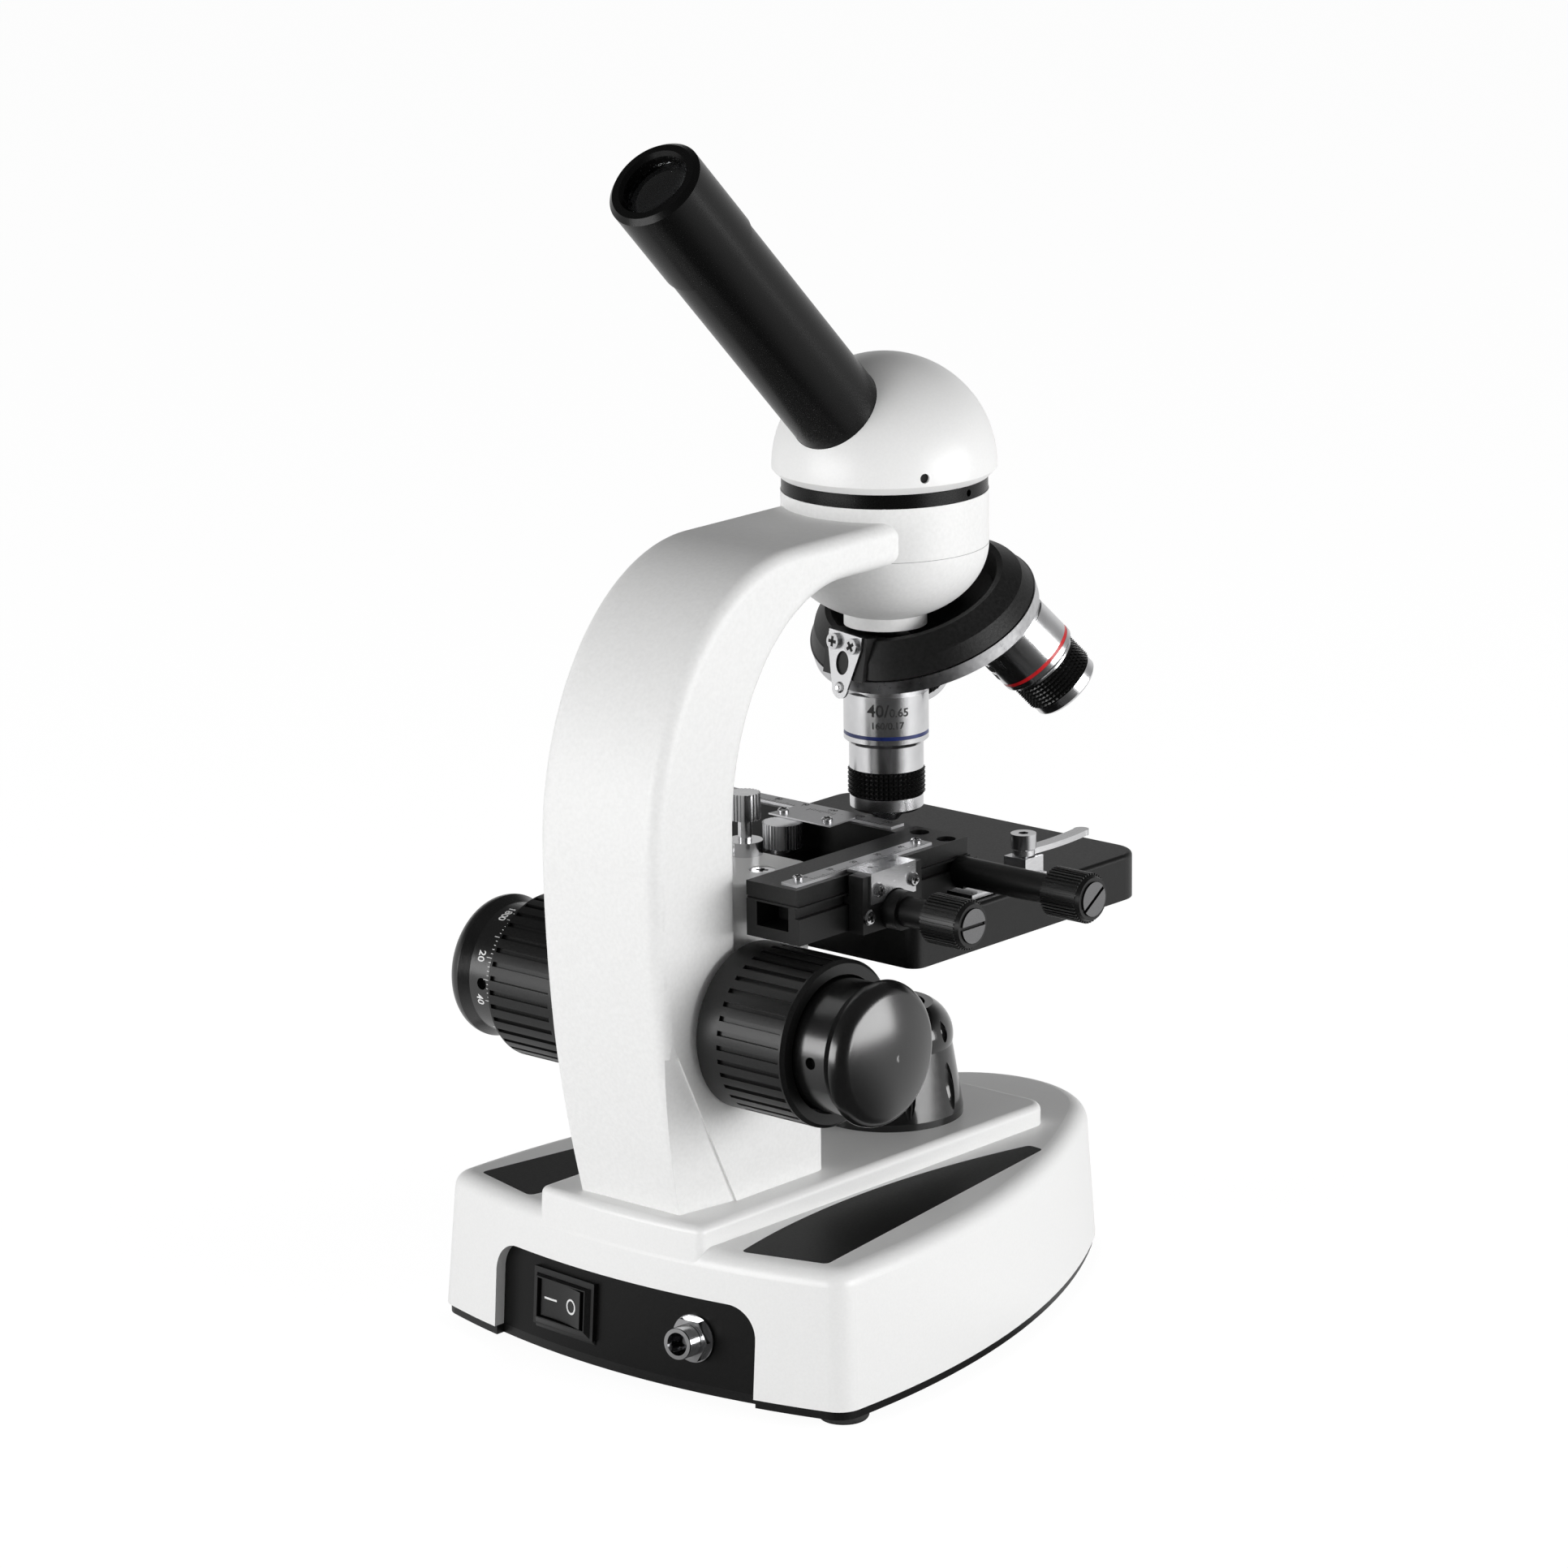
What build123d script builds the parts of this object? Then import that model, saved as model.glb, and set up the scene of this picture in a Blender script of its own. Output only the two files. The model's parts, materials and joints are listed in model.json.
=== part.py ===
from build123d import *
import math
import os

# Monocular school microscope. Millimetres, +Z up, +X to the right, -Y towards the switch panel.
# The origin lies on the table, under the optical axis.

# General fits
running_fit = 0.08
sliding_gap = 0.3
seat_gap = 0.02

# Base housing
base_half_width = 75.2
side_radius = 285.0
nose_radius = 38.0
side_back_y = -97.0
back_y = -119.0
back_radius = 240.0
back_corner_radius = 7.0
base_lean = 2.6
base_wall = 3.6
base_top = 44.5
base_edge_radius = 5.0
deck_top = 50.7
deck_half_width = 30.0
deck_front_y = 35.5
deck_corner_radius = 6.0
deck_edge_radius = 2.2
deck_rear_radius = 2.4
deck_set_in = 0.1
foot_height = 3.1
foot_radius = 7.0
foot_back = (66.0, -97.5)
foot_front = (24.0, 36.0)
base_plate_thickness = 2.6
base_plate_inset = 0.8
post_radius = 4.5
post_back = (50.0, -88.0)
post_front = (34.0, 22.0)
plate_screw_radius = 1.6
plate_screw_length = 12.0
board_plan = (-30.0, 10.0, -60.0, -28.0)
board_lift = 3.0
board_thickness = 1.6
board_post_inset = 4.0
board_post_radius = 2.0
board_coil = (-15.0, -47.0)
board_coil_size = 10.0
board_coil_height = 5.4
board_can = (0.0, -46.0)
board_can_radius = 4.0
board_can_height = 7.4
inlay_depth = 1.0
inlay_back_inner = (39.1, -108.4)
inlay_back_outer = (64.0, -101.5)
inlay_tip = (44.9, 14.3)
inlay_tip_inner = (39.6, 14.8)
inlay_inner = (31.6, -40.0)
inlay_corner_radius = 1.8

# Rear panel with switch and power inlet
panel_half_width = 48.0
panel_top = 31.0
panel_corner_radius = 9.0
panel_lap = 2.5
panel_thickness = 2.0
switch_x = -20.9
switch_z = 18.4
bezel_width = 24.3
bezel_height = 16.4
bezel_rim = 1.2
bezel_proud = 2.5
bezel_lip = 0.35
bezel_sink = 0.5
switch_body_width = 21.0
switch_body_height = 13.8
switch_body_depth = 14.0
switch_floor = 2.0
rocker_width = 17.4
rocker_height = 10.6
rocker_opening_gap = 0.8
rocker_throw = 5.0
rocker_pivot_depth = 0.5
rocker_pin_radius = 1.2
rocker_pin_length = 0.7
rocker_ridge = 2.2
rocker_dip = 1.5
rocker_depth = 4.0
rocker_draft = 1.0
jack_x = 26.0
jack_z = 18.3
jack_radius = 4.3
jack_bore_radius = 3.2
jack_pin_radius = 1.05
jack_proud = 8.2
jack_pin_sunk = 4.0
jack_body_radius = 5.6
jack_body_depth = 13.0
jack_nut_flats = 11.0
jack_nut_thickness = 3.0
jack_washer_radius = 6.7
jack_washer_thickness = 0.8
jack_bore_depth = 9.75
jack_lap = 1.0
jack_seat = 0.3

# Lamp on the deck
lamp_base_radius = 21.2
lamp_seam_radius = 18.2
lamp_seam_z = 71.3
lamp_top_z = 83.0
lamp_top_radius = 12.8
lamp_wall = 2.6
lamp_dimples = 8
lamp_lens_radius = 10.4
lamp_board_thickness = 1.6
lamp_board_gap = 1.2
lamp_foot = 2.0
lamp_shoulder_share = 0.93
lamp_lens_seat = 4.0
lamp_lens_sunk = 1.6
lamp_crown_share = 3.0
lamp_crown_rise = 0.52
lamp_ledge = 1.2
lamp_ledge_thickness = 1.5
lamp_long_dimple = (2.4, 8.0)
lamp_long_dimple_out = 0.8
lamp_short_dimple = (1.5, 3.6)
lamp_short_dimple_in = 0.2
lamp_short_dimple_rise = 5.0
lamp_short_dimple_lean = 2.5
lamp_dimple_start = 0.25
led_half = 3.5
led_height = 1.4
led_dome_radius = 2.4
led_dome_height = 2.2
lamp_wire_radius = 4.0

# Arm
arm_half_width = 21.5
arm_top_z = 228.5
arm_under_z = 216.1
arm_back_y = -121.5
arm_bend_y = -62.0
arm_bend_z = 150.0
arm_throat_y = -87.5
throat_bend_y = -40.0
throat_bend_z = 155.0
arm_foot_back_y = -109.5
arm_foot_front_y = -52.0
focus_box_top = 108.0
focus_box_chamfer = 14.0
arm_edge_radius = 4.0
crease_top = (-113.0, 97.0)
crease_foot_y = -90.0
crease_inset = 2.9
crease_step = 0.7
head_mount_radius = 29.1
head_mount_top = 232.3
head_seam_z = 217.2
light_bore_radius = 8.0
arm_bolt_radius = 2.5
arm_bolt_grip = 7.0
arm_bolt_head_radius = 4.2
arm_bolt_head = 3.0
arm_bolts_back = (12.0, -99.0)
arm_bolts_front = (15.5, -56.5)

# Head, tube and eyepiece
head_ring_height = 3.8
head_ring_radius = 28.9
head_spigot_radius = 19.6
dome_radius = 31.5
dome_centre_z = 239.0
dome_rim_radius = 2.2
tube_tilt = 45.0
tube_axis_z = 237.0
tube_radius = 13.3
tube_bore_radius = 11.65
tube_start = 17.0
tube_end = 103.2
eyepiece_radius = 13.75
eyepiece_end = 133.5
eyepiece_barrel_radius = 11.6
eyepiece_barrel_length = 26.0
eyepiece_bore_radius = 9.4
eye_lens_depth = 2.2
eye_lens_thickness = 3.0
eye_lens_curve = 30.0
eyepiece_edge = 1.4
eyepiece_ledge = 1.2
eyepiece_mouth_flare = 0.9
eyepiece_mouth_depth = 1.2
field_lens_inset = 1.0
field_lens_thickness = 2.4
prism_half_width = 8.0
prism_height = 12.0
prism_foot = (-7.0, 8.0)
prism_back_height = 9.0
prism_front_height = 5.0
prism_ridge_y = -1.0
prism_room = 1.0
ring_hole_radius = 1.0
ring_hole_turn = 4.0
dome_hole_radius = 1.35
dome_hole_turn = -29.0
dome_hole_z = 241.0
set_screw_depth = 5.0

# Nosepiece and turret, measured along the tilted turret axis from the point where it meets the light path
turret_tilt = 25.0
turret_apex_z = 228.0
bowl_depth = 22.0
port_radius = 11.7
port_drop = 1.6
nose_house_start = 29.0
nose_house_end = 37.8
nose_house_radius = 32.6
nose_crest_radius = 26.0
nose_crest_width = 1.6
nose_knee_radius = 30.4
nose_knee = 33.4
nose_dish = 35.2
nose_dish_radius = 21.5
nose_boss_radius = 12.0
turret_end = 43.2
turret_bevel = 1.0
turret_radius = 33.0
turret_crown = 2.2
turret_boss_radius = 11.9
objective_seat = 53.4
axle_radius = 3.4
axle_head_radius = 6.0
click_turn = 7.0
click_width = 13.2
click_tip_width = 6.2
click_thickness = 0.7
click_radius = 34.6
click_height = 40.0
click_lean = 31.0
click_top = -15.3
click_tip = 3.4
click_screw_spacing = 7.3
click_screw_drop = 3.0
click_screw_head = 1.3
click_screw_length = 4.0
click_hole_drop = 8.5
click_hole = (2.5, 3.4)
click_shoulder = 4.0
click_pad_margin = 1.4
click_pad_depth = 8.0
click_screw_radius = 2.3

# Objectives: lengths from the seat
objective_radius = 12.0
objective_lower_radius = 10.5
objective_thread_radius = 10.0
objective_thread_length = 4.0
objective_bore_radius = 6.0
band_width = 1.1
band_back = 1.4
band_depth = 0.6
grip_depth = 1.3
low_power_lengths = (12.6, 14.4, 22.1, 25.4)
medium_power_lengths = (13.7, 20.6, 30.4, 34.0)
high_power_lengths = (13.7, 22.2, 30.05, 34.2)
objective_step = 1.3
objective_relief = 0.1
objective_bevel = 0.8
band_sunk = 0.05
front_lens_radius = 2.6
front_lens_thickness = 0.9
front_lens_ledge = 0.5
front_lens_sunk = 0.1
front_wall = 2.0
nose_stem_radius = 6.0
nose_tip_radius = 3.3
nose_reach = 3.4
nose_stem_length = 6.5
nose_travel = 2.0
nose_end_gap = 0.4

# Focus drive
focus_y = -85.0
focus_z = 100.6
coarse_radius = 23.2
coarse_gap = 1.4
coarse_length = 31.6
coarse_recess = 5.5
coarse_edge = 1.0
coarse_rim = 4.0
coarse_slots = 36
coarse_slot_depth = 1.1
coarse_slot_width = 1.4
coarse_slot_margin = (8.1, 1.6)
coarse_shaft_radius = 5.0
pinion_radius = 5.4
pinion_half_width = 9.0
pinion_teeth = 16
tooth_depth = 0.9
tooth_width = 1.0
fine_radius = 20.2
fine_neck_radius = 18.5
fine_neck_gap = 1.5
fine_lip = 0.6
fine_neck_length = 10.6
fine_flare = 3.0
fine_reach = 17.0
fine_dome = 4.4
fine_hole_reach = 5.9
fine_hole_depth = 4.0
fine_shaft_end = 4.0
fine_hole_radius = 1.7
fine_edge_radius = 5.0
fine_shaft_radius = 2.5
slide_half_width = 10.0
slide_front_y = -62.0
slide_bottom = 64.0
slide_gap = 0.8
slide_well_floor = 58.0
slide_post_half = 5.0
slide_post_height = 16.0
slide_post_room = 1.2
rack_margin = 2.0
rack_pitch = 2.12

# Stage
stage_half_width = 54.0
stage_front_y = 49.0
stage_back_y = -52.0
stage_top = 126.7
stage_bottom = 113.7
stage_deck = 5.0
stage_skirt = 3.2
stage_front_corner = 9.0
stage_back_corner = 4.0
stage_edge = 1.2
condenser_radius = 10.0
condenser_height = 6.0
bracket_half_width = 18.0
bracket_top = 138.0
bracket_bottom = 114.0
bracket_back_y = -83.5
bracket_tongue_front_y = -24.0
bracket_tongue_half = 14.0
bracket_tongue_thickness = 4.6
bracket_corner = 5.0
bracket_edge = 1.0
bracket_screw_length = 8.0
bracket_screw_sunk = 0.2
bracket_screw_gap = 0.1
tongue_gap = 0.5
condenser_wall = 2.4
condenser_ledge = 1.2
condenser_floor = 0.2
condenser_sunk = 0.4
condenser_curve_share = 4.0
pivot_room = 0.5
pivot_end_gap = 0.1
pivot_head_height = 1.2
stop_ribs = (24, 0.4, 0.6)
stop_thread_rise = 4.0
bracket_screw_x = 11.0
bracket_screw_y = -66.0
bracket_screw_radius = 3.6
stop_x = -3.5
stop_y = -56.5
stop_head_radius = 4.4
stop_head_bottom = 148.0
stop_head_top = 155.5
stop_thread_radius = 1.9
lock_nut_radius = 5.0
lock_nut_height = 4.0
thumb_x = -10.3
thumb_y = -33.0
thumb_radius = 5.7
thumb_bottom = 134.0
thumb_top = 141.0
thumb_shank_radius = 2.0
thumb_ribs = 36
thumb_rib = (0.4, 0.5)
thumb_lug_gap = 1.0
thumb_collar_radius = 3.4
diaphragm_pivot_y = 17.0
diaphragm_radius = 24.0
diaphragm_thickness = 1.2
diaphragm_z = 115.4
diaphragm_holes = (2.0, 4.0, 6.0, 8.0, 9.5)
pivot_radius = 2.0
pivot_head_radius = 3.6

# Mechanical stage
bar_left = 25.5
bar_right = 44.5
bar_back_y = -89.0
bar_front_y = -17.0
bar_bottom = 127.0
bar_top = 142.4
bar_seam_z = 137.7
bar_seam_depth = 0.5
bar_seam_width = 0.6
bar_cover_step = 1.0
bar_pocket = (29.2, 40.5, 130.4, 137.1)
bar_pocket_depth = 9.0
bar_screws = ((30.2, -21.6), (40.4, -22.4))
bar_screw_radius = 2.7
bar_screw_sink = 2.4
guide_groove = 1.7
guide_height = 2.2
guide_drop = 6.6
guide_gap = 0.4
slot_margin = 1.5
slot_left = 5.0
cross_left = -46.0
cross_end_walls = (4.0, 3.0)
cross_back_y = -26.0
cross_wall = 1.7
cross_web = 5.0
cross_bottom = 129.3
carriage_right = 50.0
carriage_back_y = -69.1
carriage_front_y = -44.5
vernier_thickness = 0.8
vernier_drop = 8.0
vernier_back_y = -66.5
vernier_front_y = -47.8
vernier_left = 42.1
vernier_lift = 0.4
scale_thickness = 0.8
scale_width = 5.4
scale_left = 36.2
scale_back_y = -86.8
scale_front_y = -30.0
scale_margin = (2.0, 3.0)
scale_inset = 1.4
knob_radius = 7.0
knob_length = 13.0
knob_rib_depth = 0.5
knob_ribs = 40
knob_rib_width = 0.5
knob_bevel = 1.2
knob_bevel_depth = 0.5
knob_disc_radius = 4.8
knob_disc_gap = 0.2
knob_disc_sink = 0.4
knob_disc_proud = 0.5
knob_slot_width = 1.0
y_knob_slot_turn = 90.0
x_knob_slot_turn = 124.0
y_knob_y = -56.4
y_knob_z = 131.6
y_knob_face = 77.9
x_knob_y = -21.5
x_knob_z = 133.9
x_knob_face = 91.5
knob_sleeve_radius = 4.2
knob_collar_radius = 5.6
knob_collar_end = 55.0
spindle_radius = 2.0
y_pinion_radius = 2.1
y_pinion_start = 6.0
y_pinion_teeth = 12
y_tooth = (0.4, 0.5)
lead_screw_radius = 1.6
lead_screw_margin = 2.0
y_travel_back = 10.0
y_travel_front = 5.0
bearing_plate = 2.5
bearing_back_y = -23.0
bearing_front_y = -17.0
bearing_top = 137.4

# Slide holder
holder_bottom = 127.0
holder_thickness = 1.3
holder_left = -46.0
holder_right = 51.0
holder_back_y = -24.0
holder_front_y = -12.0
holder_finger_width = 5.0
holder_finger_end_y = 20.0
holder_arm_left = 40.0
holder_arm_front_y = 8.5
holder_nut_length = 12.0
holder_nut_top = 2.6
holder_lap = 1.0
clamp_x = 46.0
clamp_y = 4.5
clamp_half = 3.9
clamp_top = 133.0
finger_width = 4.0
finger_thickness = 1.6
finger_reach = 26.5
finger_hub = 3.2
finger_tip = 2.2
finger_bow = 0.7
cap_radius = 3.6
cap_height = 4.2
cap_shank_radius = 1.6
cap_socket_radius = 1.5

shell_bottom = foot_height + base_plate_thickness
lean_angle = math.degrees(math.atan(base_lean / (base_top - shell_bottom)))


def drum(radius, bottom, top, x=0.0, y=0.0):
    """Upright cylinder between two heights."""
    return Pos(x, y, bottom) * Cylinder(radius, top - bottom, align=(Align.CENTER, Align.CENTER, Align.MIN))


def rod_x(radius, start, end, y, z):
    """Cylinder along X between two stations."""
    body = Cylinder(radius, end - start, align=(Align.CENTER, Align.CENTER, Align.MIN))
    return Pos(start, y, z) * Rot(0, 90, 0) * body


def block(x0, x1, y0, y1, z0, z1):
    """Box between two corners."""
    return Pos(x0, y0, z0) * Box(x1 - x0, y1 - y0, z1 - z0, align=(Align.MIN, Align.MIN, Align.MIN))


def lathe(points):
    """Solid turned about Z from (radius, height) points."""
    face = make_face(Polyline(*[(r, 0, h) for r, h in points], close=True))
    return revolve(face, Axis.Z)


def group(solids):
    """Several separate solids in one node."""
    return Compound(children=[s for item in solids for s in item.solids()])


def inset_at(height):
    """Inward lean of the base wall at a height."""
    return base_lean * (height - shell_bottom) / (base_top - shell_bottom)


def base_outline(inset):
    """Plan outline of the base, drawn in by inset from its foot."""
    centre_x = base_half_width - side_radius
    reach = side_radius - nose_radius
    nose_y = side_back_y + math.sqrt(reach ** 2 - centre_x ** 2)
    turn = math.atan2(nose_y - side_back_y, -centre_x)
    side = side_radius - inset
    front = nose_radius - inset
    rear = back_radius - inset

    def on_side(angle):
        return centre_x + side * math.cos(angle), side_back_y + side * math.sin(angle)

    def flip(point):
        return -point[0], point[1]

    rear_y = back_y + back_radius
    apart = math.hypot(centre_x, rear_y - side_back_y)
    towards_rear = math.atan2(rear_y - side_back_y, -centre_x)
    along = (side ** 2 - rear ** 2 + apart ** 2) / (2 * apart)
    corner = towards_rear - math.acos(along / side)
    start = on_side(turn)
    middle = on_side((turn + corner) / 2)
    end = on_side(corner)
    curve = ThreePointArc(flip(start), (0, nose_y + front), start)
    curve += ThreePointArc(start, middle, end)
    curve += ThreePointArc(end, (0, back_y + inset), flip(end))
    curve += ThreePointArc(flip(end), flip(middle), flip(start))
    face = make_face(curve)
    return fillet(face.vertices().group_by(Axis.Y)[0], back_corner_radius)


def base_block(inset, bottom, top):
    """Leaning block of the base plan, set in from the outer wall."""
    lower = Pos(0, 0, bottom) * base_outline(inset + inset_at(bottom))
    upper = Pos(0, 0, top) * base_outline(inset + inset_at(top))
    return loft([lower, upper])


def corners(back, front):
    """The four places of a foot or post pattern."""
    return [(sx * x, y) for x, y in (back, front) for sx in (-1, 1)]


def panel_window(grow):
    """Prism of the rear opening, with rounded upper corners."""
    half = panel_half_width + grow
    top = panel_top + grow
    outline = make_face(Polyline((-half, 0), (half, 0), (half, top), (-half, top), close=True))
    outline = fillet(outline.vertices().group_by(Axis.Y)[-1], panel_corner_radius)
    return Pos(0, back_y / 2, 0) * extrude(Plane.XZ * outline, -back_y)


def panel_frame(x, z):
    """Place on the rear panel's outer face: local -Y points out of the base."""
    radius = back_radius - base_wall - inset_at(z)
    turn = math.degrees(math.asin(x / radius))
    y = back_y + back_radius - math.sqrt(radius ** 2 - x ** 2)
    return Pos(x, y, z) * Rot(0, 0, turn) * Rot(-lean_angle, 0, 0)


def centred_box(width, height, front, back):
    """Box in a panel frame, from one depth to another."""
    return Pos(0, (front + back) / 2, 0) * Box(width, back - front, height)


def inlay_shape(side, height, drop):
    """Glossy inlay between the deck and the outer edge of the base top."""
    curve = Line(inlay_back_inner, inlay_back_outer)
    curve += Polyline(inlay_back_outer, inlay_tip, inlay_tip_inner)
    curve += ThreePointArc(inlay_tip_inner, inlay_inner, inlay_back_inner)
    face = make_face(curve)
    face = fillet(face.vertices(), inlay_corner_radius)
    solid = Pos(0, 0, height - drop) * extrude(face, drop)
    return solid if side > 0 else mirror(solid, Plane.YZ)


def make_base():
    """Housing, plate, feet, inlays and rear panel."""
    bore = base_block(base_wall, shell_bottom, base_top - base_wall)
    outer = base_block(0, shell_bottom, base_top)
    outer = fillet(outer.edges().group_by(Axis.Z)[-1], base_edge_radius)
    deck_low = base_top - base_edge_radius - base_wall
    deck_plan = block(-deck_half_width, deck_half_width, back_y, deck_front_y, deck_low, deck_top)
    deck_plan = fillet(deck_plan.edges().filter_by(Axis.Z).group_by(Axis.Y)[-1], deck_corner_radius)
    deck = deck_plan & base_block(deck_set_in, deck_low, deck_top)
    rear = [e for e in deck.edges() if e.center().Y < arm_foot_back_y and abs(e.tangent_at(0.5).Z) > 0.9]
    deck = fillet(rear, deck_rear_radius)
    deck = fillet(deck.edges().group_by(Axis.Z)[-1], deck_edge_radius)
    deck_room = block(base_wall - deck_half_width, deck_half_width - base_wall, back_y + 3 * base_wall,
                      deck_front_y - base_wall, shell_bottom, deck_top - base_wall)
    housing = outer + deck - bore - deck_room
    for x, y in corners(post_back, post_front):
        post = drum(post_radius, shell_bottom, base_top - base_wall / 2, x, y)
        housing += post - drum(plate_screw_radius + seat_gap, 0, shell_bottom + plate_screw_length, x, y)
    housing -= panel_window(0)
    for side in (-1, 1):
        housing -= inlay_shape(side, base_top, inlay_depth)
    housing -= drum(lamp_wire_radius, shell_bottom, deck_top)
    for x, y in corners(arm_bolts_back, arm_bolts_front):
        housing -= drum(arm_bolt_radius + running_fit, shell_bottom, deck_top, x, y)

    plate_face = base_outline(base_plate_inset)
    plate = Pos(0, 0, foot_height) * extrude(plate_face, base_plate_thickness)
    behind = Pos(0, 0, foot_height) * extrude(base_outline(base_wall), base_plate_thickness)
    plate -= block(-panel_half_width, panel_half_width, 2 * back_y, 0, 0, shell_bottom) - behind
    feet = []
    for x, y in corners(foot_back, foot_front):
        foot = drum(foot_radius, 0, foot_height, x, y)
        feet.append(fillet(foot.edges().group_by(Axis.Z)[0], foot_height / 2))
    screws = []
    for x, y in corners(post_back, post_front):
        head = drum(2 * plate_screw_radius, foot_height, shell_bottom, x, y)
        plate -= head
        shank = drum(plate_screw_radius, foot_height, shell_bottom + plate_screw_length - 1, x, y)
        screws.append(head + shank)
    inlays = [inlay_shape(side, base_top, inlay_depth) for side in (-1, 1)]

    panel = base_block(base_wall + seat_gap, shell_bottom, panel_top + panel_lap)
    panel -= base_block(base_wall + panel_thickness, shell_bottom, panel_top + panel_lap)
    panel &= panel_window(panel_lap)
    return housing, plate, feet, screws, inlays, panel


def make_switch(panel):
    """Rocker switch: bezel with its body, and the rocker at rest on its I side."""
    frame = panel_frame(switch_x, switch_z)
    flange = centred_box(bezel_width, bezel_height, -bezel_rim, bezel_sink)
    body = centred_box(switch_body_width, switch_body_height, 0, switch_body_depth)
    opening_width = rocker_width + 2 * rocker_opening_gap
    opening_height = rocker_height + 2 * sliding_gap
    opening = centred_box(opening_width, opening_height, -2 * bezel_proud, switch_body_depth - switch_floor)
    rim = Pos(0, -bezel_rim, 0) * Plane.XZ * Rectangle(bezel_width, bezel_height)
    lip = Plane.XZ * Rectangle(opening_width + 2 * bezel_lip, opening_height + 2 * bezel_lip)
    slope = loft([rim, Pos(0, -bezel_proud, 0) * lip])
    half = rocker_width / 2
    foot = half - rocker_draft
    left = (-half, -rocker_ridge)
    right = (half, -rocker_ridge)
    sides = Polyline(right, (foot, rocker_depth), (-foot, rocker_depth), left)
    profile = make_face(ThreePointArc(left, (0, -rocker_dip), right) + sides)
    rocker = Pos(0, 0, -rocker_height / 2) * extrude(profile, rocker_height)
    pivot = Pos(0, rocker_pivot_depth, 0)
    pin_half = rocker_height / 2 + rocker_pin_length
    rocker += pivot * drum(rocker_pin_radius, -pin_half, pin_half)
    rocker = pivot * Rot(0, 0, -rocker_throw) * pivot.inverse() * rocker
    sockets = pivot * drum(rocker_pin_radius + running_fit, -pin_half - seat_gap, pin_half + seat_gap)
    panel -= frame * flange
    panel -= frame * body
    bezel = frame * (flange + slope + body - opening - sockets)
    return bezel, frame * rocker, panel


def make_inlet(panel):
    """Power inlet: threaded barrel with centre pin, and the flanged hex nut that holds it."""
    frame = panel_frame(jack_x, jack_z) * Rot(90, 0, 0)
    barrel = drum(jack_radius, -panel_thickness - jack_lap, jack_proud)
    body = drum(jack_body_radius, -jack_body_depth, -panel_thickness - jack_seat)
    jack = barrel + body - drum(jack_bore_radius, -jack_bore_depth, jack_proud)
    jack += drum(jack_pin_radius, -jack_bore_depth - jack_lap, jack_proud - jack_pin_sunk)
    hexagon = RegularPolygon(jack_nut_flats / 2, 6, major_radius=False)
    nut = Pos(0, 0, seat_gap) * extrude(hexagon, jack_nut_thickness)
    nut += drum(jack_washer_radius, seat_gap, seat_gap + jack_washer_thickness)
    nut -= drum(jack_radius + seat_gap, -1, jack_proud)
    panel -= frame * drum(jack_radius + running_fit, -2 * panel_thickness, 2 * panel_thickness)
    return frame * jack, frame * nut, panel


def spindle_dimple(radius, half_length):
    """Pointed oval cutter, long along Z."""
    arc = ThreePointArc((0, 0, -half_length), (radius, 0, 0), (0, 0, half_length))
    return revolve(make_face(arc + Line((0, 0, half_length), (0, 0, -half_length))), Axis.Z)


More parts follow.
